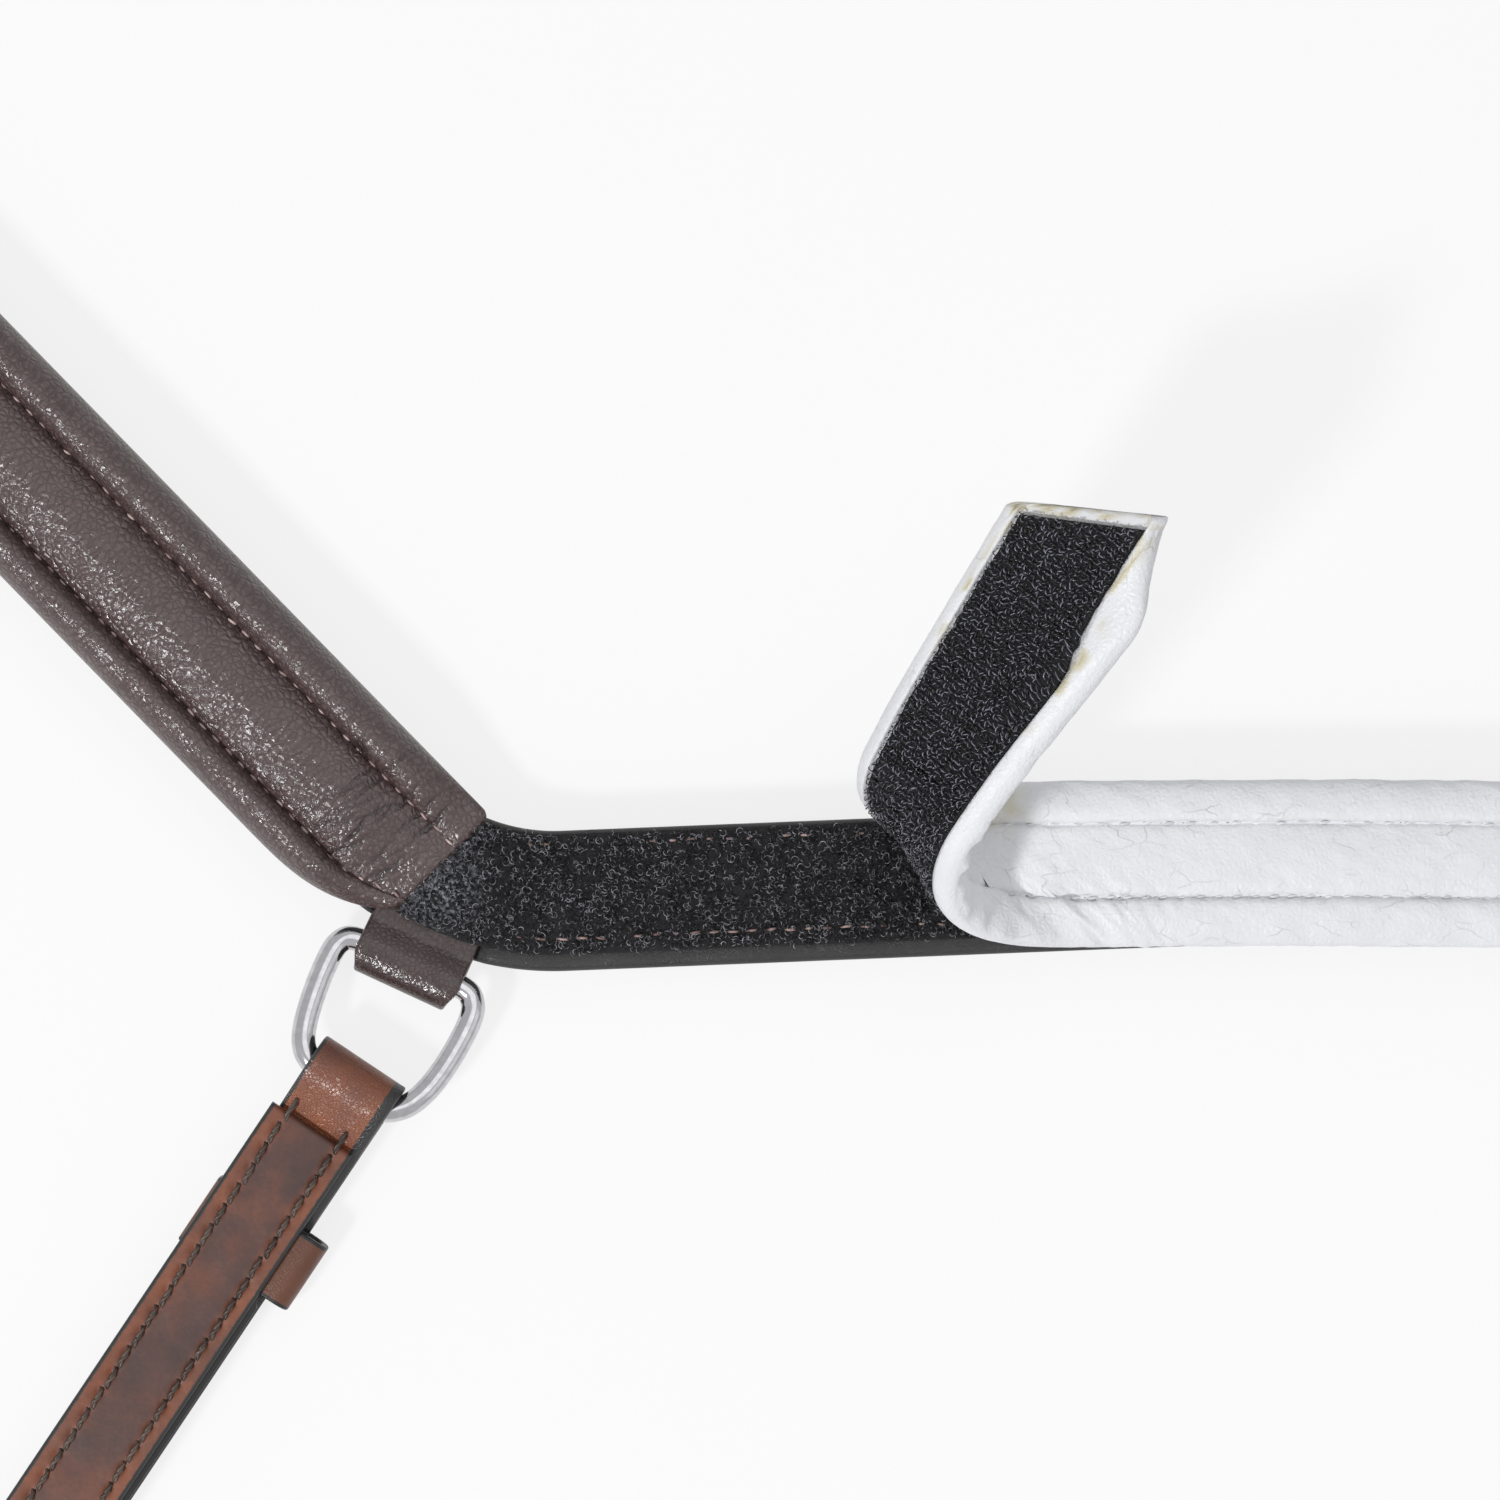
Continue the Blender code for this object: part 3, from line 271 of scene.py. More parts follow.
def surface(name, grid, body, material, uv=None, caps="fan", extra=None):
    """Piece from a grid of points, whose rows are sections that close on themselves: neighbours make the
    faces, and a fan round a middle point closes each end, or one face where the section is grooved. Each
    point keeps its u and v in metres."""
    rows, columns = grid.shape[:2]
    index = np.arange(rows * columns).reshape(rows, columns)
    after = np.roll(index, -1, 1)
    faces = np.stack([index[:-1], after[:-1], after[1:], index[1:]], -1).reshape(-1, 4).tolist()
    points = grid.reshape(-1, 3)
    marks = np.zeros((rows * columns, 2)) if uv is None else uv.reshape(-1, 2)
    if caps == "face":
        faces += [index[0, ::-1].tolist(), index[-1].tolist()]
    if caps == "fan":
        for ring, turn in ((index[0], 1), (index[-1], -1)):
            middle = np.full(columns, len(points))
            points = np.vstack([points, points[ring].mean(0)])
            marks = np.vstack([marks, marks[ring].mean(0)])
            pairs = np.stack([np.roll(ring, -1), ring], -1)[:, ::turn]
            faces += np.column_stack([pairs, middle]).tolist()
    mesh = bpy.data.meshes.new(name)
    mesh.from_pydata(points.tolist(), [], faces)
    corner = np.zeros(len(mesh.loops), int)
    mesh.loops.foreach_get("vertex_index", corner)
    mesh.uv_layers.new(name="strip").data.foreach_set("uv", marks[corner].ravel())
    for label, values in (extra or {}).items():
        values = np.concatenate([values.ravel(), np.zeros(len(points) - values.size)])
        mesh.attributes.new(label, "FLOAT", "POINT").data.foreach_set("value", values)
    mesh.validate()
    return solid(name, mesh, body, material)


def bow(x, z, radius, start, end, steps=24):
    """Points of an arc between two angles in degrees."""
    turn = np.radians(np.linspace(start, end, steps))
    return np.stack([x + radius * np.cos(turn), z + radius * np.sin(turn)], -1)


def object_place(tree, scale=1.0):
    """Object coordinates of a material, scaled."""
    place = add(tree, "TexCoord", {}).outputs["Object"]
    return add(tree, "Mapping", {"Vector": place, "Scale": (scale,) * 3}).outputs[0]


def noise(tree, scale, detail, place=None, rough=0.5, output="Fac"):
    """Noise of a scale and a detail over the object, or over another place."""
    place = place if place else object_place(tree)
    values = {"Vector": place, "Scale": scale, "Detail": detail, "Roughness": rough}
    return add(tree, "TexNoise", values).outputs[output]


def ramp(tree, value, *stops):
    """Colour ramp over a value, with its stops as (position, colour)."""
    made = add(tree, "ValToRGB", {"Fac": value})
    elements = made.color_ramp.elements
    while len(elements) < len(stops):
        elements.new(0.5)
    for element, (position, colour) in zip(elements, stops):
        element.position = position
        element.color = colour
    return made.outputs["Color"]


def edge_distance(tree, place, scale, drift, detail, wander):
    """Distance to the edges of cells over a place, which a noise moves first, so that the edges wander."""
    moved = noise(tree, drift, detail, place, output="Color")
    moved = add(tree, "VectorMath", {0: moved, "Scale": wander}, operation="SCALE").outputs[0]
    moved = add(tree, "VectorMath", {0: place, 1: moved}, operation="ADD").outputs[0]
    cells = add(tree, "TexVoronoi", {"Vector": moved, "Scale": scale}, feature="DISTANCE_TO_EDGE")
    return cells.outputs["Distance"]


def grain(tree, cell, depth=1.0, crease=0.12, wander=0.25, rough=0.6):
    """Height of leather grain: pebbles parted by creases, from the distance to the edges of cells of a
    size in metres, and a fine unevenness on them."""
    place = object_place(tree, 1 / cell)
    pebbles = spread(tree, edge_distance(tree, place, 1.0, 0.8, 2.0, wander), 0.0, crease)
    fine = figure(tree, "MULTIPLY", noise(tree, 2.6, 3.0, place), depth * rough)
    return figure(tree, "ADD", figure(tree, "MULTIPLY", pebbles, depth), fine)


def bump(tree, height, strength, distance):
    """Normal from a height at a distance."""
    return add(tree, "Bump", {"Height": height, "Strength": strength, "Distance": distance}).outputs[0]


def leather_finish(name, colour, shade, roughness, cell, depth, specular=0.5):
    """Leather in one colour, clouded towards a second, with its grain as bump."""
    material, tree = finish(name, roughness, specular)
    clouds = ramp(tree, noise(tree, 130.0, 5.0), (0.3, colour), (0.75, shade))
    relief = bump(tree, grain(tree, cell), depth, 0.1 * MM)
    wear = spread(tree, noise(tree, 260.0, 3.0), 0.3, 0.7, roughness - 0.07, roughness + 0.1)
    dress(tree, Base_Color=clouds, Normal=relief, Roughness=wear)
    return material


def joint(name):
    """Place and axis of a joint of the frame as arrays."""
    found = next(item for item in frame["joints"] if item["name"] == name)
    return np.array(found.get("pos_m", (0, 0, 0)), float), np.array(found["axis"], float)


def strap_outline(crown, half):
    """Section of the strap: flat inner side, rounded edges, and a crown below made of quarter ellipses down
    to a flat."""
    top = np.stack([np.linspace(0, half - 1.6 * MM, 8), np.full(8, STRAP_TOP)], -1)
    corner = bow(half - STRAP_EDGE, STRAP_TOP - STRAP_EDGE, STRAP_EDGE, 90, 0, 7)
    flank = np.array([[half, STRAP_RAISE + 1.1 * MM], [half - 0.05 * MM, STRAP_RAISE + 0.5 * MM]])
    fall = np.radians(np.linspace(90, 0, 13))
    reach = half - 0.2 * MM - CROWN_FLAT
    below = np.stack([CROWN_FLAT + reach * np.sin(fall), STRAP_RAISE - crown * np.cos(fall)], -1)
    right = np.vstack([top, corner, flank, below, [[0.0, STRAP_RAISE - crown]]])
    return np.vstack([right, right[1:-1][::-1] * (-1, 1)])


black_bridle = leather_finish("black_bridle_leather", *BRIDLE_BLACKS, 0.42, 0.35 * MM, 0.35)
ring_bar, ring_axis = joint("ring_swing_right")
RING_AWAY = np.array((-ring_axis[1], ring_axis[0], 0.0))

runs = np.concatenate([
    np.arange(0, BEND_START, STRAP_STEP), np.linspace(BEND_START, BEND_END, 30),
    np.arange(BEND_END + STRAP_STEP, STRAP_END - END_RUN, STRAP_STEP),
    STRAP_END - END_RUN * (1 - np.sin(np.linspace(0, math.pi / 2, 9))),
])
runs = np.concatenate([-runs[:0:-1], runs])
sections = np.stack([
    strap_outline(STRAP_RAISE * (0.35 + 0.65 * share), STRAP_HALF - 1.5 * MM * (1 - share))
    for share in eased((STRAP_END - np.abs(runs)) / END_RUN)
])
grid = beside(runs[:, None], sections[..., 0], sections[..., 1])
from_bar = np.abs(grid * (1, 0, 0)) + grid * (0, 1, 1) - ring_bar
past, inward, deep = LOOP_POCKET
pocket = (np.abs(from_bar @ ring_axis) < LOOP_HALF + past) & (from_bar @ RING_AWAY > -inward)
grid[..., 2] -= np.where(pocket & (grid[..., 2] > STRAP_RAISE), deep, 0.0)
strap = surface("nose_strap", grid, "noseband", black_bridle, together(runs[:, None], sections[..., 0]))
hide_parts("outer_strap", "strap_core")


# The loop tape: a black nylon tape 16 mm wide, sewn to the strap's inner side with pinkish-brown thread in
# two rows. Its brushed loops stand up in a curly pile; the end next to the left side pad is dusty.

TAPE_HALF = 8.0 * MM
TAPE_OFFSET = 0.9 * MM
TAPE_BASE = STRAP_TOP + 0.3 * MM
TAPE_TOP = TAPE_BASE + 1.2 * MM
TAPE_ROWS = (-4.9 * MM, 7.5 * MM)
TAPE_PITCH = 2.5 * MM
TAPE_STITCH = 1.5 * MM
TAPE_THREAD = 0.38 * MM
PILE_HEIGHT = 0.9 * MM
CURL_WIDTH = 0.085 * MM
CURLS = (
    ("outer_left", -BEND_END, -98 * MM, 6100, 21), ("inner_left", -98 * MM, -52 * MM, 5900, 23),
    ("right", 124 * MM, BEND_END, 1300, 22),
)
DUST_PLACE = (-140.6 * MM, -5.6 * MM, 9.0 * MM)
UP = np.array((0.0, 0.0, 1.0))
side_x, side_y, side_heading = (float(value) for value in route(BEND_END))
SIDE_ALONG = np.array((math.cos(side_heading), math.sin(side_heading), 0.0))
SIDE_ACROSS = np.array((-math.sin(side_heading), math.cos(side_heading), 0.0))
SIDE_START = np.array((side_x, side_y, 0.0)) - SIDE_RUN_IN * SIDE_ALONG


def unit(vectors):
    """Vectors made one long."""
    return vectors / (np.linalg.norm(vectors, axis=-1, keepdims=True) + 1e-12)


def rounded_section(half, low, high, corner, steps=5, flat=5):
    """Closed outline of a leather strip's section: a rectangle whose corners are quarter rounds."""
    arcs = [bow(half - corner, high - corner, corner, 0, 90, steps),
            bow(corner - half, high - corner, corner, 90, 180, steps),
            bow(corner - half, low + corner, corner, 180, 270, steps),
            bow(half - corner, low + corner, corner, 270, 360, steps)]
    share = np.linspace(0, 1, flat + 2)[1:-1, None]
    outline = []
    for here, after in zip(arcs, arcs[1:] + arcs[:1]):
        outline += [here, here[-1] * (1 - share) + after[0] * share]
    return np.vstack(outline)


def tape_reach(across):
    """Run at which a line along the strap meets the side pad's end, found by halving the range."""
    low = np.full(np.shape(across), BEND_START - 40 * MM)
    high = np.full(np.shape(across), BEND_END)
    for _ in range(40):
        middle = (low + high) / 2
        short = (beside(middle, across, 0.0) - SIDE_START) @ SIDE_ALONG < -0.3 * MM
        low, high = np.where(short, middle, low), np.where(short, high, middle)
    return low


def lattice(columns, rows, seed):
    """Smooth random heights from -1 to 1 over a plane: a random value at each whole point, and a smooth
    step between them."""
    values = np.random.default_rng(seed).uniform(-1, 1, (64, 64))
    low_c, low_r = np.floor(columns).astype(int), np.floor(rows).astype(int)
    c, r = eased(columns - low_c), eased(rows - low_r)
    pick = lambda i, j: values[(low_c + i) % 64, (low_r + j) % 64]
    near = pick(0, 0) * (1 - c) + pick(1, 0) * c
    return near * (1 - r) + (pick(0, 1) * (1 - c) + pick(1, 1) * c) * r


def ripples(along, across, *waves):
    """Sum of random waves, each given by its pitch along, its pitch across, its height and its seed."""
    return sum(lattice(along / (a * MM), across / (b * MM), seed) * high for a, b, high, seed in waves) * MM


def crowd(name, paths, width, body, material, sides=3):
    """Piece made of many thin strands: round each strand's points, arrays of strands by points, stand the
    corners of a small polygon, square to the strand, that tapers to its ends."""
    count, steps = paths.shape[:2]
    tangent = unit(np.gradient(paths, axis=1))
    first = unit(np.cross(tangent, (0.3, 0.4, 0.87)))
    second = np.cross(tangent, first)
    turn = np.arange(sides)[:, None] * math.tau / sides
    thin = np.clip(np.sin(np.linspace(0.25, math.pi - 0.25, steps)), 0, 1) ** 0.3 * width / 2
    ring = first[..., None, :] * np.cos(turn) + second[..., None, :] * np.sin(turn)
    points = paths[:, :, None] + ring * thin[:, None, None]
    index = np.arange(count * steps * sides).reshape(count, steps, sides)
    after = np.roll(index, -1, 2)
    quads = np.stack([index[:, :-1], index[:, 1:], after[:, 1:], after[:, :-1]], -1).reshape(-1, 4)
    ends = np.concatenate([index[:, 0], index[:, -1, ::-1]])
    mesh = bpy.data.meshes.new(name)
    mesh.from_pydata(points.reshape(-1, 3).tolist(), [], quads.tolist() + ends.tolist())
    shade = np.repeat(np.random.default_rng(3).uniform(0, 1, count), steps * sides)
    mesh.attributes.new("strand", "FLOAT", "POINT").data.foreach_set("value", shade)
    return solid(name, mesh, body, material)


def stitch_paths(starts, ends, rise, lift, up=UP, steps=6):
    """Middle lines of stitches: each goes from hole to hole in a sine arch, raised by a lift."""
    share = np.linspace(0, 1, steps)[:, None]
    arch = rise * np.sin(math.pi * share) + lift
    return starts[:, None] * (1 - share) + ends[:, None] * share + arch * up


def strand_finish(name, dark, light, roughness, specular=0.5, rare=0.0):
    """Nylon or thread whose strands differ in tone: the share given as rare keeps the dark one."""
    material, tree = finish(name, roughness, specular)
    tone = add(tree, "Attribute", {}, attribute_name="strand").outputs["Fac"]
    dress(tree, Base_Color=ramp(tree, tone, (rare, dark), (1.0, light)))
    return material


def blended(tree, share, first, second):
    """Mix of two colours."""
    return add(tree, "Mix", {0: share, 6: first, 7: second}, data_type="RGBA").outputs[2]


def tone_of(tree):
    """Socket that gives a material's shader its colour so far."""
    return tree.nodes["Principled BSDF"].inputs["Base Color"].links[0].from_socket


def dust(tree, amount):
    """Whitish dust mixed over a material's colour, around one place on the tape and in patches."""
    tone = tone_of(tree)
    place = add(tree, "TexCoord", {}).outputs["Object"]
    off = add(tree, "VectorMath", {0: place, 1: DUST_PLACE}, operation="DISTANCE").outputs["Value"]
    near = spread(tree, off, 1.0 * MM, 7.5 * MM, amount, 0.0)
    share = figure(tree, "MULTIPLY", near, spread(tree, noise(tree, 1700.0, 4.0, place), 0.5, 0.62))
    dress(tree, Base_Color=blended(tree, share, tone, srgb(196, 200, 208)))


def curls(count, low_run, high_run, seed):
    """Curly loops of the pile: each rises from the tape, turns round a small slanted circle of its own size
    and comes back down, so its height is a sine and its plan an arc."""
    rng = np.random.default_rng(seed)
    across = TAPE_OFFSET + rng.uniform(-1, 1, count) * (TAPE_HALF - 0.35 * MM)
    run = rng.uniform(low_run, high_run, count)
    run = np.clip(run, -tape_reach(across) + 0.3 * MM, tape_reach(across) - 0.3 * MM)
    base = beside(run, across, TAPE_TOP - 0.1 * MM)
    share = np.linspace(0, 1, 6)
    size = rng.uniform(0.14, 0.5, (count, 1)) * MM
    face = rng.uniform(0, math.tau, (count, 1))
    turn = face + rng.uniform(1.2, 4.4, (count, 1)) * rng.choice([-1, 1], (count, 1)) * share
    rise = rng.uniform(0.25, 1.0, (count, 1)) * PILE_HEIGHT * np.sin(math.pi * share)
    lean = rng.normal(0, 0.25, (count, 1)) * MM * share
    x, y = size * (np.cos(turn) - np.cos(face)), size * (np.sin(turn) - np.sin(face))
    return base[:, None] + together(x, y, rise + lean)


# Painted glints: the strands beyond the dark share grow lighter, up to near white, and stand in for glints on
# the black nylon pile.
pile_with_painted_glints = strand_finish("loop_pile", srgb(20, 19, 23), srgb(196, 195, 204), 0.3, 0.65, 0.55)
dust(pile_with_painted_glints.node_tree, 0.8)
tape_black, tree = finish("loop_tape_ground", 0.8)
tufts = noise(tree, 1.4, 5.0, object_place(tree, 1000), 0.7)
tone = ramp(tree, tufts, (0.35, srgb(8, 8, 10)), (0.65, srgb(28, 28, 32)))
dress(tree, Base_Color=tone, Normal=bump(tree, tufts, 0.9, 0.4 * MM))
dust(tree, 0.6)
pink_thread = strand_finish("pinkish_thread", srgb(110, 88, 84), srgb(194, 168, 162), 0.5)

section = rounded_section(TAPE_HALF, TAPE_BASE, TAPE_TOP, 0.3 * MM, 3, 24)
across = TAPE_OFFSET + section[:, 0]
runs = np.linspace(-1, 1, 421)[:, None] * tape_reach(across)
lumps = ripples(runs, across, (0.9, 0.9, 0.22, 5))
grid = beside(runs, across, section[:, 1] + np.where(section[:, 1] > TAPE_BASE + 0.6 * MM, lumps, 0.0))
tape = surface("loop_tape_ground", grid, "noseband", tape_black, together(runs, across))
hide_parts("loop_tape")
for side_name, low_run, high_run, count, seed in CURLS:
    paths = curls(count, low_run, high_run, seed)
    pile = crowd(f"loop_pile_{side_name}", paths, CURL_WIDTH, "noseband", pile_with_painted_glints)

rng = np.random.default_rng(8)
runs = np.arange(-BEND_START - 6 * MM, BEND_START + 6 * MM, TAPE_PITCH)
for row_name, row, sink in zip(("lower", "upper"), TAPE_ROWS, (0.0, 0.35 * MM)):
    starts = beside(runs, row, TAPE_TOP)
    ends = beside(runs + TAPE_STITCH, row + rng.normal(0, 0.15, len(runs)) * MM, TAPE_TOP)
    lift = rng.uniform(-0.75, 0.15, len(runs))[:, None, None] * MM - sink
    paths = stitch_paths(starts, ends, 0.55 * MM, lift)
    thread = crowd(f"tape_stitches_{row_name}", paths, TAPE_THREAD, "noseband", pink_thread, 6)


# The side pads: soft taupe-brown nappa over foam, sewn down along two lines into three channels, and
# wrinkled where it flattens near the nose end. Each covers the strap from its bend to the chin straps.

SIDES = (("left", -1), ("right", 1))
SIDE_SHIFT = -0.2 * MM
SIDE_HALF = 12.1 * MM
SIDE_NOSE_HALF = 5.6 * MM
SIDE_FLARE = 21.0 * MM
SIDE_SEAMS = (-6.7 * MM, 5.8 * MM)
SIDE_CREST = 5.4 * MM
SEAM_HEIGHT = 2.8 * MM
EDGE_HEIGHT = 0.9 * MM
SWELL_RUN = 16.0 * MM
END_SWELL = 0.45
SIDE_PITCH = 2.4 * MM
NOSE_CORNER = 1.6 * MM
FLAT_RUN = 13.0 * MM
KNOT_PLACE = 18.4 * MM
CREASES = 22
SIDE_BASE = STRAP_TOP + 0.3 * MM
TUCK_DEPTH = 0.17 * MM
TUCK_FADE = 0.9 * MM
CREASE_DEPTH = 0.45 * MM
CREASE_WIDTH = 0.2 * MM
SIDE_STITCH = 1.25 * MM
SIDE_THREAD = 0.38 * MM
KNOT_THREAD = 0.22 * MM
KNOT_STRANDS = 16
BLACK = (0.0, 0.0, 0.0, 1.0)


def side_lines(along):
    """Edges and seams across a side pad, and how far it swells: its lower corner is cut back at the nose end
    by a cube of the distance, and both ends draw in."""
    flare = np.clip(1 - along / SIDE_FLARE, 0, None) ** 3
    chin = eased((SIDE_LENGTH - along) / SWELL_RUN)
    draw = 0.84 + 0.16 * chin
    lower = -(SIDE_HALF - (SIDE_HALF - SIDE_NOSE_HALF) * flare) * draw
    rounded = NOSE_CORNER - np.sqrt(NOSE_CORNER**2 - np.clip(NOSE_CORNER - along, 0, None) ** 2)
    swell = END_SWELL + (1 - END_SWELL) * np.minimum(eased(along / SWELL_RUN), chin)
    seam = np.maximum(SIDE_SEAMS[0], lower * 0.62)
    lines = lower + 0.5 * rounded, seam, np.full_like(along, SIDE_SEAMS[1]), SIDE_HALF * draw - rounded
    return lines, swell


def tucks(along, from_seam, seed):
    """Puckers of a seam: folds across it at the stitches' pitch, deepest half-way between the stitches and
    fading away from the seam."""
    wander = lattice(along / (5 * MM), 0.0, seed) * 0.5
    depth = TUCK_DEPTH * (0.6 + 0.4 * lattice(along / (3 * MM), 3.0, seed))
    wave = np.cos(math.tau * along / SIDE_PITCH + wander)
    return -depth * wave * np.exp(-np.abs(from_seam) / TUCK_FADE)


def crease_lines(run, across, seed):
    """Depths from 0 to 1 of the creases near the nose end: each is a thin groove along a slanting, wandering
    line across the pad, and fades at its two ends."""
    rng = np.random.default_rng(seed)
    creases = 0 * run
    for start in np.linspace(3.5, 17, CREASES) * MM:
        slope, depth = rng.uniform(-0.5, 0.05), rng.uniform(0.5, 1.0)
        middle, reach = rng.uniform(-5, 9) * MM, rng.uniform(2.5, 6) * MM
        line = start + slope * across + lattice(across / (1.6 * MM), start / MM, seed + 8) * 0.45 * MM
        fade = np.clip(1 - ((across - middle) / reach) ** 2, 0, 1)
        creases = np.maximum(creases, depth * fade * np.exp(-((run - line) / CREASE_WIDTH) ** 2))
    return creases


def side_surface(seed):
    """Upper face, edges and flat back of a side pad: over each channel a half-ellipse from line to line,
    times the swell, with folds, puckers, and thin creases across near the nose end."""
    ends = 1.2 * MM * (1 - np.cos(np.linspace(0, math.pi / 2, 6)))
    along = np.concatenate([ends, np.arange(1.4 * MM, 24 * MM, 0.22 * MM),
                            np.arange(24 * MM, SIDE_LENGTH - 1.4 * MM, 0.45 * MM), SIDE_LENGTH - ends[::-1]])
    lines, swell = side_lines(along)
    across, height = [], []
    levels = (EDGE_HEIGHT, SEAM_HEIGHT, SEAM_HEIGHT, EDGE_HEIGHT)
    for channel, steps in enumerate((20, 30, 20)):
        low, high = lines[channel][:, None], lines[channel + 1][:, None]
        share = (1 - np.cos(np.linspace(0, math.pi, steps + 1)[:-1])) / 2
        share = (1 - np.cos(np.linspace(0, math.pi, steps + 1)[:-1])) / 2
        bulge = SIDE_CREST - (levels[channel] + levels[channel + 1]) / 2
        bulge = bulge * (0.4 + 0.6 * eased(along / FLAT_RUN))[:, None]
        profile = 2 * np.sqrt(np.clip(share * (1 - share), 0, None))
        profile = profile ** (0.92 + 0.45 * (share, 1.0, 1 - share)[channel])
        level = levels[channel] + (levels[channel + 1] - levels[channel]) * share + bulge * profile
        across.append(low + (high - low) * share)
        height.append(level * swell[:, None])
    across.append(lines[3][:, None])
    height.append(levels[3] * swell[:, None])
    across, height = np.hstack(across), np.hstack(height)
    run = np.broadcast_to(along[:, None], across.shape)
    free = np.clip((height - 0.7 * MM) / (2 * MM), 0, 1)
    height = height + ripples(run, across, (11, 5, 0.16, seed), (2.6, 1.5, 0.07, seed + 1)) * free
    for seam, number in ((lines[1], 2), (lines[2], 3)):
        away = across - seam[:, None]
        height = height + tucks(run, away, seed + number) * free
        height = height + 0.12 * MM * np.exp(-(away / (0.45 * MM)) ** 2) * np.clip(swell[:, None], 0, 1)
    slant = run + 0.25 * across
    above = np.clip((height - 0.7 * MM) / MM, 0, 1)
    folds = ripples(slant, across, (1.1, 5, 0.16, seed + 5))
    height = height + folds * np.exp(-((slant - 10 * MM) / (6 * MM)) ** 2) * above
    creases = crease_lines(run, across, seed) * above
    height = height - CREASE_DEPTH * creases
    lip = np.sqrt(np.clip(1 - (1 - np.clip(run / (1.2 * MM), 0, 1)) ** 2, 0, 1))
    height = np.minimum(height, 0.9 * MM + (height - 0.9 * MM) * (0.35 + 0.65 * lip))
    inset, level = np.array([[0.05, 0.15], [0.45, 0.0]]) * MM
    left = together(across[:, :1] + inset[::-1], level[::-1])
    right = together(across[:, -1:] - inset, level)
    section = np.concatenate([left, together(across, height), right], 1)
    return along, section, np.pad(creases, ((0, 0), (2, 2)))


def framed(origin, along, across):
    """Way from a frame, given by its origin and two directions, to the part's own coordinates. It takes a
    side, whose sign mirrors x, and places along, across and up."""
    def place(side, *values):
        a, b, height = (np.asarray(value)[..., None] for value in values)
        return (origin + a * along + b * across + height * UP) * (side, 1, 1)
    return place


def nappa_finish(name, colour, shade, deep, cell, strength, roughness, gloss=0.5):
    """Soft leather: a colour clouded towards a second, with painted shade in a deep colour in the creases
    between its pebbles, whose rounded heights catch the light. A piece's crease mark paints more shade,
    towards black."""
    material, tree = finish(name, roughness, gloss)
    large = grain(tree, cell, 1.0, 0.4, 0.6, 0.2)
    small = grain(tree, cell * 0.4, 1.0, 0.36, 0.5, 0.2)
    height = figure(tree, "ADD", large, figure(tree, "MULTIPLY", small, 0.14))
    tone = ramp(tree, noise(tree, 180.0, 4.0), (0.3, colour), (0.7, shade))
    # Painted shade: the deep colour darkens the creases between the pebbles.
    tone = blended(tree, spread(tree, large, 0.1, 0.6), deep, tone)
    # Painted shade: a piece's crease mark darkens its colour towards black.
    crease_shade_mask = add(tree, "Attribute", {}, attribute_name="crease").outputs["Fac"]
    tone = blended(tree, crease_shade_mask, tone, blended(tree, 0.8, tone, BLACK))
    amount = spread(tree, noise(tree, 420.0, 2.0), 0.3, 0.7, strength * 0.7, strength)
    dress(tree, Base_Color=tone, Normal=bump(tree, height, amount, 0.2 * MM))
    return material


in_side = framed(SIDE_START + SIDE_SHIFT * SIDE_ACROSS, SIDE_ALONG, SIDE_ACROSS)
# The third colour is the painted shade in the creases between the pebbles.
taupe = nappa_finish("taupe_nappa", srgb(84, 67, 66), srgb(93, 75, 74), srgb(68, 53, 52),
                     0.95 * MM, 0.62, 0.27, 0.75)
side_thread = strand_finish("pad_thread", srgb(146, 122, 119), srgb(220, 196, 191), 0.5)
knot_thread = strand_finish("burnt_thread", srgb(24, 20, 20), srgb(70, 58, 56), 0.6)
holes = np.arange(0.9 * MM, SIDE_LENGTH - 1.5 * MM, SIDE_PITCH)
lines, swell = side_lines(holes)
level = SIDE_BASE + SEAM_HEIGHT * swell + 0.24 * MM
for name, side in SIDES:
    along, section, creases = side_surface(40 + side)
    grid = in_side(side, along[:, None], section[..., 0], SIDE_BASE + section[..., 1])
    marks = together(along[:, None], section[..., 0])
    # On the left pad the crease mark also darkens a spot round the knot.
    if side < 0:
        across = section[..., 0] - SIDE_SEAMS[1] - 0.6 * MM
        off = np.hypot((along[:, None] - KNOT_PLACE) / 1.2, across / 0.6)
        creases = np.maximum(creases, np.exp(-(off / MM) ** 2) * (section[..., 1] > EDGE_HEIGHT))
    # The crease mark carries the creases' depths, which the material darkens as painted shade along the
    # creases.
    pad = surface(f"side_pad_leather_{name}", grid, "noseband", taupe, marks, extra={"crease": creases})
    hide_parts(f"side_pad_{name}", f"side_foam_{name}")
    rng = np.random.default_rng(60 + side)
    starts, ends = [], []
    for seam in lines[1:3]:
        drift = rng.normal(0, 0.08, len(holes)) * MM
        starts.append(in_side(side, holes, seam + drift, level))
        drift = drift + rng.normal(0, 0.1, len(holes)) * MM
        ends.append(in_side(side, holes + SIDE_STITCH, seam + drift, level))
    starts, ends = np.vstack(starts), np.vstack(ends)
    lift = (rng.uniform(-0.25, 0.2, len(starts))[:, None, None] - 0.1) * MM
    paths = stitch_paths(starts, ends, 0.35 * MM, lift)
    thread = crowd(f"side_pad_stitches_{name}", paths, SIDE_THREAD, "noseband", side_thread, 6)

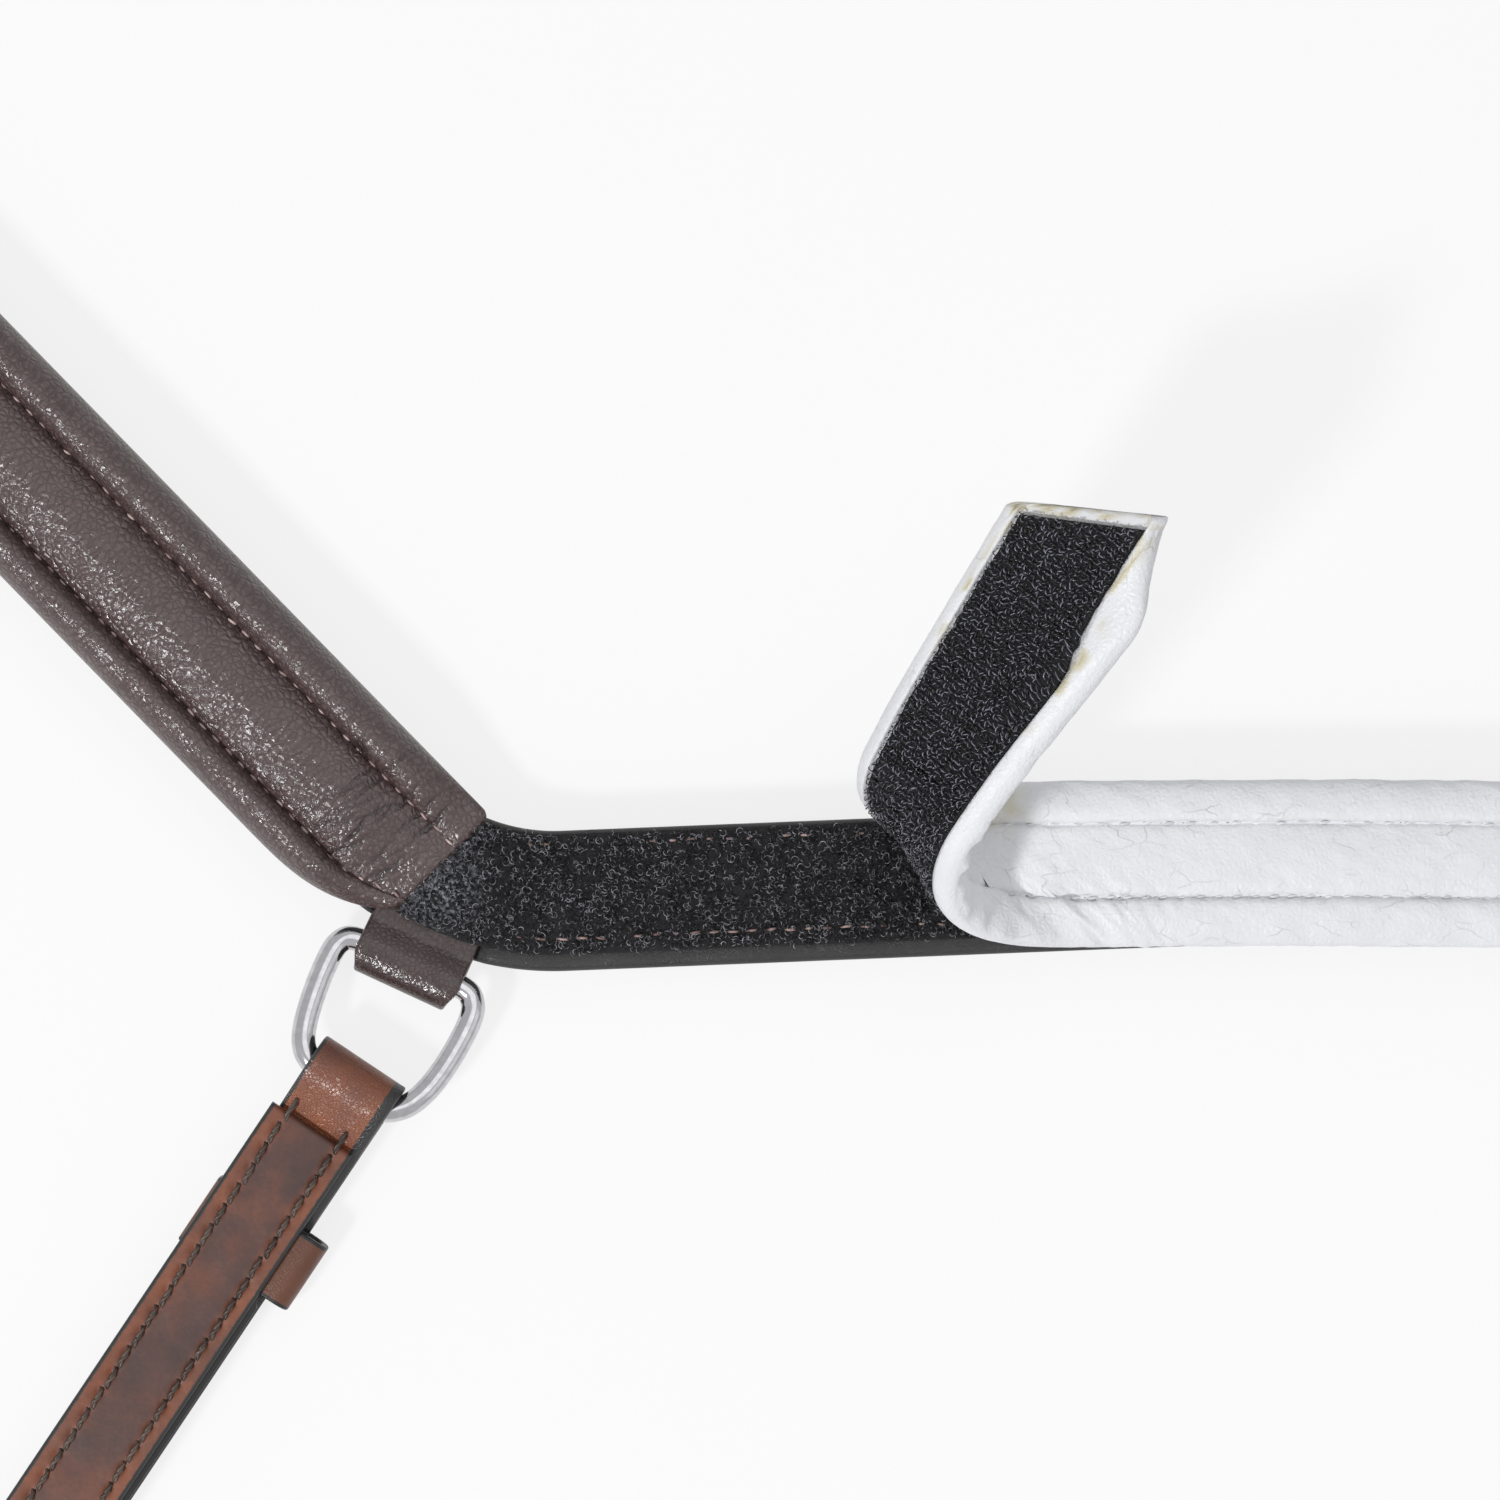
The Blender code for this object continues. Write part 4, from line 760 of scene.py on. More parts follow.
rng = np.random.default_rng(67)
one, many = (KNOT_STRANDS, 1), (KNOT_STRANDS, 6)
knot_x = KNOT_PLACE + (rng.normal(0, 0.55, one) + rng.normal(0, 0.22, many)) * MM
knot_y = SIDE_SEAMS[1] + (0.45 + rng.normal(0, 0.2, one) + rng.normal(0, 0.18, many)) * MM
knot_z = SIDE_BASE + SEAM_HEIGHT + rng.uniform(0.6, 1.3, many) * MM
paths = in_side(-1, knot_x, knot_y, knot_z)
knot = crowd("side_pad_knot_left", paths, KNOT_THREAD, "noseband", knot_thread, 4)


# The ring loops: a strip of smooth dark brown leather turned round each ring's straight bar, its two tails
# sewn between the strap and its lining.

LOOP_LEATHER = 1.1 * MM
LOOP_EYE = 2.5 * MM
LOOP_SLACK = 0.9 * MM
LOOP_TAIL = -7.7 * MM
LOOP_ENTRY = -3.45 * MM
LOOP_LAYERS = (0.95 * MM, -0.15 * MM)


def traced(parts, step=0.5 * MM, soften=2):
    """Even points along straight lines and arcs joined end to end, softened by averaging neighbours."""
    points = np.vstack(parts)
    length = np.concatenate([[0], np.cumsum(np.linalg.norm(np.diff(points, axis=0), axis=1))])
    run = np.linspace(0, length[-1], int(length[-1] / step) + 1)
    line = np.stack([np.interp(run, length, points[:, k]) for k in (0, 1)], -1)
    for _ in range(soften):
        line[1:-1] = (line[:-2] + 2 * line[1:-1] + line[2:]) / 4
    return run, line


def strip(line, half, thick, corner=0.4 * MM, flat=8):
    """Leather strip along a line seen from its side: at each point a rounded section, whose depth lies along
    the line's normal. Gives places along, across and up."""
    tangent = unit(np.gradient(line, axis=0))
    normal = np.stack([-tangent[:, 1], tangent[:, 0]], -1)
    half, thick = half + np.zeros(len(line)), thick + np.zeros(len(line))
    section = rounded_section(half.max(), -0.5 * MM, 0.5 * MM, corner, 6, flat)
    across = section[:, 0] * (half / half.max())[:, None]
    depth = section[:, 1] / MM * thick[:, None]
    place = line[:, None] + normal[:, None] * depth[..., None]
    return place[..., 0], across, place[..., 1]


in_ring = framed(ring_bar, ring_axis, RING_AWAY)
# The third colour is the painted shade in the creases between the pebbles.
brown_loop = nappa_finish("ring_loop_leather", srgb(65, 49, 48), srgb(74, 57, 55), srgb(49, 36, 34),
                          0.7 * MM, 0.3, 0.24, 0.7)
loop_line = traced([
    [(LOOP_TAIL, LOOP_LAYERS[0]), (LOOP_ENTRY, LOOP_LAYERS[0])], bow(0, 0, LOOP_EYE, 125, 90),
    bow(LOOP_SLACK, 0, LOOP_EYE, 90, -90), bow(0, 0, LOOP_EYE, -90, -125),
    [(LOOP_ENTRY, LOOP_LAYERS[1]), (LOOP_TAIL, LOOP_LAYERS[1])],
], 0.4 * MM)[1]
narrow = LOOP_HALF - 0.8 * MM * eased((loop_line[:, 0] - 0.8 * MM) / (2.6 * MM))
away, along, height = strip(loop_line, narrow, LOOP_LEATHER, 0.49 * MM, 20)
rows = np.arange(len(loop_line))[:, None]
for name, side in SIDES:
    lump = lattice(along / (2.5 * MM), rows / 9, 71 + side) * 0.07 * MM
    grid = in_ring(side, along, away, height + lump * (np.abs(away) < 5 * MM))
    loop = surface(f"ring_loop_leather_{name}", grid, "noseband", brown_loop)
    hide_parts(f"ring_loop_{name}")


# The rings: round steel wire bent to a D with a straight bar and welded there, polished bright. Each turns
# freely in its loop and slopes a little up to the hanger's fold.

WIRE = 1.6 * MM
RING_POINTS = np.array((
    (0.0, 0.0), (7.4, 0.0), (9.6, 1.1), (10.4, 3.6), (10.2, 8.6), (9.4, 13.2), (8.1, 16.5), (6.5, 18.3),
    (4.7, 19.2), (2.5, 19.4), (-0.5, 18.9), (-3.5, 18.2), (-6.3, 17.3), (-8.0, 16.0), (-9.1, 13.6),
    (-9.8, 9.6), (-10.1, 5.0), (-9.7, 1.4), (-7.5, 0.0),
)) * MM
RING_SLOPE = 0.725 / 18.25


def tube(name, points, radius, body, material, sides=18):
    """Round wire along a closed line of points: a circle square to the line at each of them."""
    tangent = unit(np.roll(points, -1, 0) - np.roll(points, 1, 0))
    first = unit(np.cross(tangent, UP))
    second = np.cross(first, tangent)
    turn = np.arange(sides)[:, None] * math.tau / sides
    grid = points[:, None] + (first[:, None] * np.cos(turn) + second[:, None] * np.sin(turn)) * radius
    piece = surface(name, np.concatenate([grid, grid[:1]]), body, material, caps=None)
    join = bmesh.new()
    join.from_mesh(piece.data)
    bmesh.ops.remove_doubles(join, verts=join.verts, dist=1e-7)
    join.to_mesh(piece.data)
    join.free()
    piece.data.shade_smooth()
    return piece


steel, tree = finish("stainless_steel", 0.12, metallic=1.0)
streaks = noise(tree, 900.0, 4.0)
tone = ramp(tree, streaks, (0.3, srgb(208, 208, 211)), (0.7, srgb(190, 190, 194)))
gloss = spread(tree, streaks, 0.3, 0.7, 0.08, 0.2)
dress(tree, Base_Color=tone, Roughness=gloss, Normal=bump(tree, streaks, 0.05, 0.1 * MM))

before, here, after, beyond = (np.roll(RING_POINTS, shift, 0)[:, None] for shift in (1, 0, -1, -2))
t = np.linspace(0, 1, 8, endpoint=False)[:, None]
ring_line = 0.5 * (2 * here + (after - before) * t + (2 * before - 5 * here + 4 * after - beyond) * t**2
                   + (3 * here - before - 3 * after + beyond) * t**3)
ring_line = ring_line.reshape(-1, 2)
for name, side in SIDES:
    points = in_ring(side, ring_line[:, 0], ring_line[:, 1], ring_line[:, 1] * RING_SLOPE)
    ring = tube(f"ring_wire_{name}", points, WIRE, f"ring_{name}", steel)
    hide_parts(f"ring_{name}")


# The hangers: straps 12.7 mm wide in oiled tan leather with black painted edges. One leather is turned over
# the ring at one end and over a buckle's bar at the other. A browner lining is sewn on its upper side with
# thick waxed thread in two rows, and two keepers are sewn in at its edges.

hanger_fold, hanger_across = joint("hanger_swing_right")
HANGER_ALONG = np.array((hanger_across[1], -hanger_across[0], 0.0))
HANGER_HALF = 6.35 * MM
HANGER_LENGTH = 128.0 * MM
MAIN_THICK = 1.8 * MM
TURNED_THICK = 1.3 * MM
FOLD_THICK = 1.4 * MM
MAIN_LEVEL = -1.525 * MM
TURNED_LEVEL = 0.025 * MM
FOLD_BEND = 3.4 * MM
FOLD_RAMP = 6.9 * MM
RING_TAIL = 16.2 * MM
SKIVE = 3.0 * MM
BUCKLE_TAIL = 17.0 * MM
BAR_LEVEL = -0.875 * MM
BAR_BEND = 2.45 * MM
BAR_THICK = 1.2 * MM
BAR_RAMP = 5.5 * MM
LINING_PLACE = 1.0 * MM
LINING_LOW = 0.825 * MM
LINING_THICK = 1.6 * MM
LINING_RUN = (7.1 * MM, HANGER_LENGTH - 7.5 * MM)
HANGER_ROWS = (LINING_PLACE - 4.1 * MM, HANGER_HALF - 1.6 * MM)
HANGER_PITCH = 3.25 * MM
HANGER_STITCH = 3.1 * MM
CORD_WIDTH = 0.52 * MM
SLOT_HALF = np.array((3.9, 1.3, 4.0)) * MM
KEEPER_THICK = 1.1 * MM
KEEPER_HALF = 5.0 * MM
KEEPER_PLACES = (("ring", 24.4 * MM), ("buckle", HANGER_LENGTH - 27.0 * MM))
KEEPER_LEVEL = 0.1 * MM
KEEPER_FLOOR = -6.075 * MM
KEEPER_NEAR = 7.2 * MM
KEEPER_FAR = -9.0 * MM
KEEPER_STEP = 0.3 * MM


def cut_slot(piece, bar, place, side):
    """Take the prong's slot, a box round the middle of a buckle's bar, out of a strap."""
    corners = np.array([(x, y, z) for x in (-1, 1) for y in (-1, 1) for z in (-1, 1)]) * SLOT_HALF
    corners = corners + (bar[0], 0, bar[1])
    mesh = bpy.data.meshes.new("slot")
    faces = [(0, 1, 3, 2), (4, 6, 7, 5), (0, 4, 5, 1), (2, 3, 7, 6), (0, 2, 6, 4), (1, 5, 7, 3)]
    mesh.from_pydata(place(side, *corners.T).tolist(), [], faces)
    if signed_volume(mesh) < 0:
        mesh.flip_normals()
    take_out(piece, put("slot", mesh))


def take_out(piece, cutter):
    """Subtract a cutter from a piece, and keep the result as its mesh."""
    modifier = piece.modifiers.new("cut", "BOOLEAN")
    modifier.operation = "DIFFERENCE"
    modifier.solver = "EXACT"
    modifier.object = cutter
    bpy.context.view_layer.update()
    made = bpy.data.meshes.new_from_object(piece.evaluated_get(bpy.context.evaluated_depsgraph_get()))
    piece.modifiers.clear()
    old = piece.data
    piece.data = made
    bpy.data.meshes.remove(old)
    bpy.data.objects.remove(cutter)


def strip_map(tree):
    """Places along and across a strip, in metres, from its own map."""
    return add(tree, "UVMap", {}, uv_map="strip").outputs[0]


def edged_leather(name, colour, shade, roughness, half, cell, depth, specular=0.5,
                  edge=srgb(30, 29, 30), wide=0.5 * MM):
    """Leather strap with painted edges: beyond a distance across the strip, kept as the second value of its
    own map, the colour turns to the paint. On the negative side the paint is as wide as asked for."""
    material = leather_finish(name, colour, shade, roughness, cell, depth, specular)
    tree = material.node_tree
    across = add(tree, "SeparateXYZ", {0: strip_map(tree)}).outputs["Y"]
    shifted = figure(tree, "ADD", figure(tree, "MULTIPLY", across, -1.0), wide - 0.5 * MM)
    rough = figure(tree, "MULTIPLY", noise(tree, 1500.0, 2.0), 0.25 * MM)
    wavy = figure(tree, "ADD", figure(tree, "MAXIMUM", across, shifted), rough)
    paint = spread(tree, wavy, half - 0.5 * MM, half - 0.35 * MM)
    dress(tree, Base_Color=blended(tree, paint, tone_of(tree), edge))
    return material


def cord_stitches(name, starts, ends, up, body, material, rise, turns=1.2):
    """Stitches of waxed thread: two plies wind round each stitch's arched line as helices."""
    share = np.linspace(0, 1, 8)[:, None]
    aside = np.cross(up, unit(ends - starts))[:, None]
    middle = stitch_paths(starts, ends, rise, -0.04 * MM, up, len(share))
    middle = middle + aside * np.sin(math.tau * share) * 0.14 * MM
    plies = []
    for phase in (0.0, math.pi):
        turn = phase + share * turns * math.tau
        plies.append(middle + (aside * np.cos(turn) + up * np.sin(turn)) * CORD_WIDTH * 0.32)
    return crowd(name, np.concatenate(plies), CORD_WIDTH, body, material, 5)


in_hanger = framed(hanger_fold, HANGER_ALONG, hanger_across)
tan = edged_leather("tan_oiled_leather", srgb(150, 84, 48), srgb(104, 58, 42), 0.36, HANGER_HALF,
                    0.5 * MM, 0.4, 0.7, srgb(40, 40, 42), 1.5 * MM)
keeper_tan = edged_leather("keeper_leather", srgb(112, 69, 50), srgb(94, 57, 43), 0.42, KEEPER_HALF,
                           0.4 * MM, 0.25)
lining, tree = finish("hanger_lining_leather", 0.45, 0.6)
across_strip = figure(tree, "ABSOLUTE", add(tree, "SeparateXYZ", {0: strip_map(tree)}).outputs["Y"])
clouds = noise(tree, 110.0, 6.0, rough=0.6)
fibres = noise(tree, 1400.0, 4.0)
stains = ramp(tree, clouds, (0.34, srgb(60, 39, 35)), (0.5, srgb(82, 49, 41)), (0.66, srgb(112, 64, 45)))
toward_edge = spread(tree, across_strip, 2.9 * MM, 4.4 * MM)
burnish = figure(tree, "MULTIPLY", toward_edge, spread(tree, clouds, 0.3, 0.6, 0.35, 1.0))
warm = blended(tree, burnish, stains, srgb(134, 74, 45))
flecked = blended(tree, spread(tree, fibres, 0.35, 0.75, 0.0, 0.3), warm, srgb(58, 36, 30))
painted = figure(tree, "ADD", across_strip, figure(tree, "MULTIPLY", fibres, 0.3 * MM))
edge_share = spread(tree, painted, HANGER_HALF - 0.45 * MM, HANGER_HALF - 0.3 * MM)
nap = figure(tree, "ADD", fibres, figure(tree, "MULTIPLY", clouds, 0.8))
dress(tree, Base_Color=blended(tree, edge_share, flecked, srgb(36, 35, 36)),
      Normal=bump(tree, nap, 0.3, 0.12 * MM))
waxed_thread = strand_finish("waxed_brown_thread", srgb(58, 47, 42), srgb(96, 82, 74), 0.42)
edge_paint, tree = finish("black_edge_paint", 0.35)
dress(tree, Base_Color=srgb(34, 33, 34))

hanger_run, hanger_line = traced([
    [(RING_TAIL + SKIVE, MAIN_LEVEL + 1.0 * MM), (RING_TAIL, TURNED_LEVEL),
     (FOLD_RAMP, TURNED_LEVEL + 0.1 * MM)],
    bow(0, 0, FOLD_BEND, 64, 287, 40),
    [(6.6 * MM, MAIN_LEVEL), (HANGER_LENGTH - BAR_RAMP, MAIN_LEVEL)],
    bow(HANGER_LENGTH, BAR_LEVEL, BAR_BEND, -100, 100, 32),
    [(HANGER_LENGTH - BAR_RAMP, TURNED_LEVEL), (HANGER_LENGTH - BUCKLE_TAIL, TURNED_LEVEL),
     (HANGER_LENGTH - BUCKLE_TAIL - SKIVE, MAIN_LEVEL + 1.0 * MM)],
], 0.4 * MM)
upper = hanger_line[:, 1] > -0.9 * MM
marks_x = hanger_line[:, 0]
fold_share = eased((FOLD_RAMP - marks_x) / (2 * MM))
bar_share = eased((marks_x - HANGER_LENGTH + BAR_RAMP) / (2 * MM))
thickness = np.where(upper, TURNED_THICK, MAIN_THICK)
thickness = thickness + (FOLD_THICK - thickness) * fold_share
thickness = thickness + (BAR_THICK - thickness) * bar_share
ends_left = np.minimum(hanger_run, hanger_run[-1] - hanger_run)
thickness = thickness * (0.15 + 0.85 * eased(ends_left / SKIVE))
strap_along, strap_across, strap_height = strip(hanger_line, HANGER_HALF, thickness, 0.32 * MM, 14)
fallen = np.clip(-strap_across - HANGER_HALF + 1.5 * MM, 0, None) ** 2 / (3 * MM)
fallen = fallen * np.clip((strap_height - MAIN_LEVEL) / MM, 0, 1)

filler_run = np.linspace(RING_TAIL + SKIVE, HANGER_LENGTH - BUCKLE_TAIL - SKIVE, 60)
outline = rounded_section(HANGER_HALF - 0.25 * MM, -0.475 * MM, 0.675 * MM, 0.1 * MM, 3, 2)
waist = sum(eased((KEEPER_HALF + MM - np.abs(filler_run - place)) / MM) for _, place in KEEPER_PLACES)
filler_across = outline[:, 0] * (1 - 0.17 * waist)[:, None]
filler_height = outline[:, 1]

end_rows = 0.8 * MM * (1 - np.cos(np.linspace(0, math.pi / 2, 6)))
rows = np.concatenate([
    LINING_RUN[0] + end_rows, np.arange(LINING_RUN[0] + 1.1 * MM, LINING_RUN[1] - 1 * MM, 0.4 * MM),
    LINING_RUN[1] - end_rows[::-1],
])
outline = rounded_section(HANGER_HALF, 0.0, LINING_THICK, 0.45 * MM, 7, 34)
from_end = np.minimum(rows - LINING_RUN[0], LINING_RUN[1] - rows)
skived = 0.55 + 0.45 * np.sqrt(np.clip(1 - (1 - np.clip(from_end / (0.8 * MM), 0, 1)) ** 2, 0, 1))
top = np.clip(outline[:, 1] / LINING_THICK * 3 - 2, 0, 1)
grooves = sum(np.exp(-((outline[:, 0] - row) / (0.55 * MM)) ** 2) for row in (-4.1 * MM, 4.1 * MM))
rows = rows[:, None]
dents = 0.3 * MM * grooves * (0.6 + 0.4 * np.cos(math.tau * rows / HANGER_PITCH))

holes = np.arange(LINING_RUN[0] + 1.6 * MM, HANGER_LENGTH - 9 * MM, HANGER_PITCH)
keeper_line = traced([
    [(5.2 * MM, KEEPER_LEVEL), (KEEPER_NEAR - 0.65 * MM, KEEPER_LEVEL)],
    bow(KEEPER_NEAR - 0.65 * MM, KEEPER_LEVEL - 0.65 * MM, 0.65 * MM, 90, 0, 8),
    bow(KEEPER_NEAR - 0.65 * MM, KEEPER_FLOOR + 0.65 * MM, 0.65 * MM, 0, -90, 8),
    bow(KEEPER_FAR + 1.85 * MM, KEEPER_FLOOR + 1.85 * MM, 1.85 * MM, 270, 180, 12),
    bow(KEEPER_FAR + 1.85 * MM, KEEPER_LEVEL - 1.85 * MM, 1.85 * MM, 180, 90, 12),
    [(-5.2 * MM, KEEPER_LEVEL)],
], KEEPER_STEP)[1]
keeper_across, keeper_along, keeper_height = strip(keeper_line, KEEPER_HALF, KEEPER_THICK, 0.3 * MM, 8)
keeper_marks = together(np.arange(len(keeper_line))[:, None] * KEEPER_STEP, keeper_along)

for name, side in SIDES:
    body = f"hanger_{name}"
    wave = ripples(strap_along, strap_across, (5, 3, 0.07, 80 + side), (1.9, 1.5, 0.04, 84 + side))
    height = strap_height + wave * (strap_along < 8 * MM) - fallen
    grid = in_hanger(side, strap_along, strap_across, height)
    leather = surface(f"hanger_strap_{name}", grid, body, tan, together(hanger_run[:, None], strap_across))
    cut_slot(leather, (HANGER_LENGTH, BAR_LEVEL), in_hanger, side)
    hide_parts(f"hanger_leather_{name}", f"hanger_filler_{name}")

    grid = in_hanger(side, filler_run[:, None], filler_across, filler_height)
    filler = surface(f"hanger_middle_{name}", grid, body, edge_paint)

    lumps = ripples(rows, outline[:, 0], (3.4, 2.2, 0.05, 90 + side), (9, 5, 0.07, 93 + side))
    level = outline[:, 1] * skived[:, None] + top * (lumps - dents)
    grid = in_hanger(side, rows, outline[:, 0] + LINING_PLACE, LINING_LOW + level)
    uv = together(rows, outline[:, 0])
    sewn = surface(f"hanger_sewn_lining_{name}", grid, body, lining, uv)
    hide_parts(f"hanger_lining_{name}")

    rng = np.random.default_rng(100 + side)
    for face, face_name, level in (
        (1, "upper", LINING_LOW + LINING_THICK - 0.1 * MM),
        (-1, "lower", MAIN_LEVEL - MAIN_THICK / 2 + 0.1 * MM),
    ):
        slant = 0.26 * MM * face * side
        starts, ends = [], []
        for row in HANGER_ROWS:
            drift = rng.normal(0, 0.07, len(holes)) * MM
            starts.append(in_hanger(side, holes, row - slant + drift, level))
            ends.append(in_hanger(side, holes + HANGER_STITCH, row + slant + drift, level))
            if face > 0:
                starts.append(in_hanger(side, 4.6 * MM, row - slant, 1.75 * MM)[None])
                ends.append(in_hanger(side, 8.3 * MM, row + slant, level)[None])
        starts, ends = np.vstack(starts), np.vstack(ends)
        stitches = cord_stitches(f"hanger_stitches_{face_name}_{name}", starts, ends, face * UP, body,
                                 waxed_thread, 0.5 * MM)

    for end_name, place in KEEPER_PLACES:
        grid = in_hanger(side, keeper_along + place, keeper_across, keeper_height)
        keeper = surface(f"{end_name}_keeper_leather_{name}", grid, body, keeper_tan, keeper_marks)
        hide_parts(f"{end_name}_keeper_{name}")


# The buckles: a steel wire frame with rounded corners, and a flat prong whose eye turns on the frame's bar.
# There is one at the end of each hanger and one at the right chin strap.

BUCKLE_WIRE = 1.5 * MM
BUCKLE_LENGTH = 14.5 * MM
BUCKLE_CORNER = 2.4 * MM
PRONG_THICK = 1.6 * MM
PRONG_BEND = 2.6 * MM
PRONG_TIP = 17.4 * MM


def buckle(name, frame_body, prong_name, prong_body, bar, half, place, side):
    """Buckle in a strap's frame with its bar at a place along it: the frame is a tube round a rounded
    rectangle, and the prong a strip from its eye round the bar to its tip."""
    x, z = bar
    corner, right = BUCKLE_CORNER, x + BUCKLE_LENGTH
    outline = traced([
        [(x, 0)], bow(x + corner, half - corner, corner, 180, 90, 9),
        bow(right - corner, half - corner, corner, 90, 0, 9),
        bow(right - corner, corner - half, corner, 0, -90, 9),
        bow(x + corner, corner - half, corner, 270, 180, 9), [(x, 0)],
    ], 0.6 * MM, 1)[1][:-1]
    points = place(side, outline[:, 0], outline[:, 1], z)
    wire = tube(f"{name}_wire", points, BUCKLE_WIRE, frame_body, steel, 16)
    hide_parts(name)
    line = traced([bow(x, z, PRONG_BEND, 0, 270, 40), [(x + PRONG_TIP, z - PRONG_BEND)]], 0.35 * MM, 1)[1]
    far = eased((line[:, 0] - x - PRONG_TIP + 1.6 * MM) / (1.6 * MM)) * (line[:, 1] < z)
    thick = PRONG_THICK * (1 - 0.5 * far)
    grid = place(side, *strip(line, thick / 2, thick, 0.5 * MM, 2))
    arm = surface(f"{prong_name}_bar", grid, prong_body, steel)
    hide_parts(prong_name)


for name, side in SIDES:
    buckle(f"hanger_buckle_{name}", f"hanger_buckle_{name}", f"hanger_prong_{name}", f"hanger_prong_{name}",
           (HANGER_LENGTH, BAR_LEVEL), HANGER_HALF + 2.2 * MM, in_hanger, side)


# The chin straps: single black leathers sewn in under the side pads. The left one drops to the ground and
# ends in a point with a row of punched holes. The right one is turned over its buckle's bar, and carries a
# fixed keeper and a sliding runner.

CHIN_HALF = 7.8 * MM
CHIN_BASE = 4.7 * MM
CHIN_THICK = 2.7 * MM
CHIN_START = SIDE_LENGTH - 18.0 * MM
CHIN_LEVEL = CHIN_BASE + CHIN_THICK / 2
CHIN_TOP = CHIN_BASE + CHIN_THICK
POINT_END = SIDE_LENGTH + 112.0 * MM
DROP_START = SIDE_LENGTH + 6.0 * MM
DROP_RUN = 34.0 * MM
POINT_TAPER = 12.0 * MM
CHIN_BAR = (SIDE_LENGTH + 52.0 * MM, CHIN_BASE + 1.85 * MM)
CHIN_TURNED = 1.0 * MM
HOLE_PLACES = POINT_END - 18.0 * MM - 16.0 * MM * np.arange(4)
HOLE_RADIUS = 1.9 * MM
BAND_THICK = 1.1 * MM
BAND_HALF_WIDTH = 3.5 * MM
BAND_ROOM = 3.1 * MM
BAND_BEND = 0.95 * MM
BAND_STEP = 0.35 * MM
CHIN_ROWS = (-5.6 * MM, 5.6 * MM)
CHIN_PITCH = 2.4
CHIN_STITCH = 1.8 * MM
CHIN_THREAD = 0.4 * MM
CHIN_STITCHES = (
    ("point", -1, 0.0, 6.0, 0.0), ("buckle", 1, 0.0, 6.0, 0.0), ("turn", 1, 37.5, 44.5, CHIN_TURNED),
)

in_chin = framed(SIDE_START, SIDE_ALONG, SIDE_ACROSS)
chin_black = edged_leather("chin_strap_leather", *BRIDLE_BLACKS, 0.42, CHIN_HALF, 0.35 * MM, 0.35)
fall = np.linspace(0, 1, 40)
run, line = traced([
    [(CHIN_START, CHIN_LEVEL), (DROP_START, CHIN_LEVEL)],
    np.stack([DROP_START + DROP_RUN * fall, CHIN_THICK / 2 + CHIN_BASE * (1 - eased(fall))], -1),
    [(POINT_END, CHIN_THICK / 2)],
], 0.6 * MM)
share = np.clip((line[:, 0] - POINT_END + POINT_TAPER) / POINT_TAPER, 0, 1)
along, across, height = strip(line, CHIN_HALF - (CHIN_HALF - 2.0 * MM) * share**2, CHIN_THICK, 0.5 * MM, 10)
uv = together(run[:, None], across)
point_strap = surface("chin_point_leather", in_chin(-1, along, across, height), "noseband", chin_black, uv)
turn = np.linspace(0, math.tau, 32, endpoint=False)
levels = np.array((-2.0, 6.0))[:, None] * MM
for place in HOLE_PLACES:
    wall = in_chin(-1, place + HOLE_RADIUS * np.cos(turn), HOLE_RADIUS * np.sin(turn), levels)
    take_out(point_strap, surface("punch", wall, None, chin_black))
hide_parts("chin_point_strap")

run, line = traced([
    [(CHIN_START, CHIN_LEVEL), (CHIN_BAR[0] - BAR_RAMP, CHIN_LEVEL)],
    bow(*CHIN_BAR, BAR_BEND, -100, 100, 32),
    [(CHIN_BAR[0] - BAR_RAMP, CHIN_TOP + CHIN_TURNED / 2),
     (CHIN_BAR[0] - 12.0 * MM, CHIN_TOP + CHIN_TURNED / 2),
     (CHIN_BAR[0] - 15.0 * MM, CHIN_TOP + 0.1 * MM)],
], 0.5 * MM)
over = line[:, 1] > CHIN_TOP - 0.3 * MM
thickness = np.where(over, CHIN_TURNED, CHIN_THICK)
thickness = thickness + (BAR_THICK - thickness) * eased((line[:, 0] - CHIN_BAR[0] + BAR_RAMP) / (2 * MM))
thickness = thickness * np.where(over, 0.12 + 0.88 * eased((run[-1] - run) / SKIVE), 1.0)
along, across, height = strip(line, CHIN_HALF, thickness, 0.4 * MM, 10)
uv = together(run[:, None], across)
buckle_strap = surface("chin_buckle_leather", in_chin(1, along, across, height), "noseband", chin_black, uv)
cut_slot(buckle_strap, CHIN_BAR, in_chin, 1)
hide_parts("chin_buckle_strap")
buckle("chin_buckle", "chin_buckle", "chin_prong", "chin_prong", CHIN_BAR, CHIN_HALF + 2.2 * MM, in_chin, 1)

band_black = edged_leather("keeper_black_leather", *BRIDLE_BLACKS, 0.4, BAND_HALF_WIDTH, 0.35 * MM, 0.3)
reach = CHIN_HALF + 0.3 * MM + BAND_THICK / 2
roof = CHIN_TOP + 0.3 * MM + BAND_THICK / 2
floor_line = CHIN_BASE - BAND_ROOM - BAND_THICK / 2
line = traced([
    [(0, roof)], bow(BAND_BEND - reach, roof - BAND_BEND, BAND_BEND, 90, 180, 8),
    bow(BAND_BEND - reach, floor_line + BAND_BEND, BAND_BEND, 180, 270, 8),
    bow(reach - BAND_BEND, floor_line + BAND_BEND, BAND_BEND, 270, 360, 8),
    bow(reach - BAND_BEND, roof - BAND_BEND, BAND_BEND, 0, 90, 8), [(0, roof)],
], BAND_STEP)[1]
across, along, height = strip(line, BAND_HALF_WIDTH, BAND_THICK, 0.3 * MM, 6)
uv = together(np.arange(len(line))[:, None] * BAND_STEP, along)
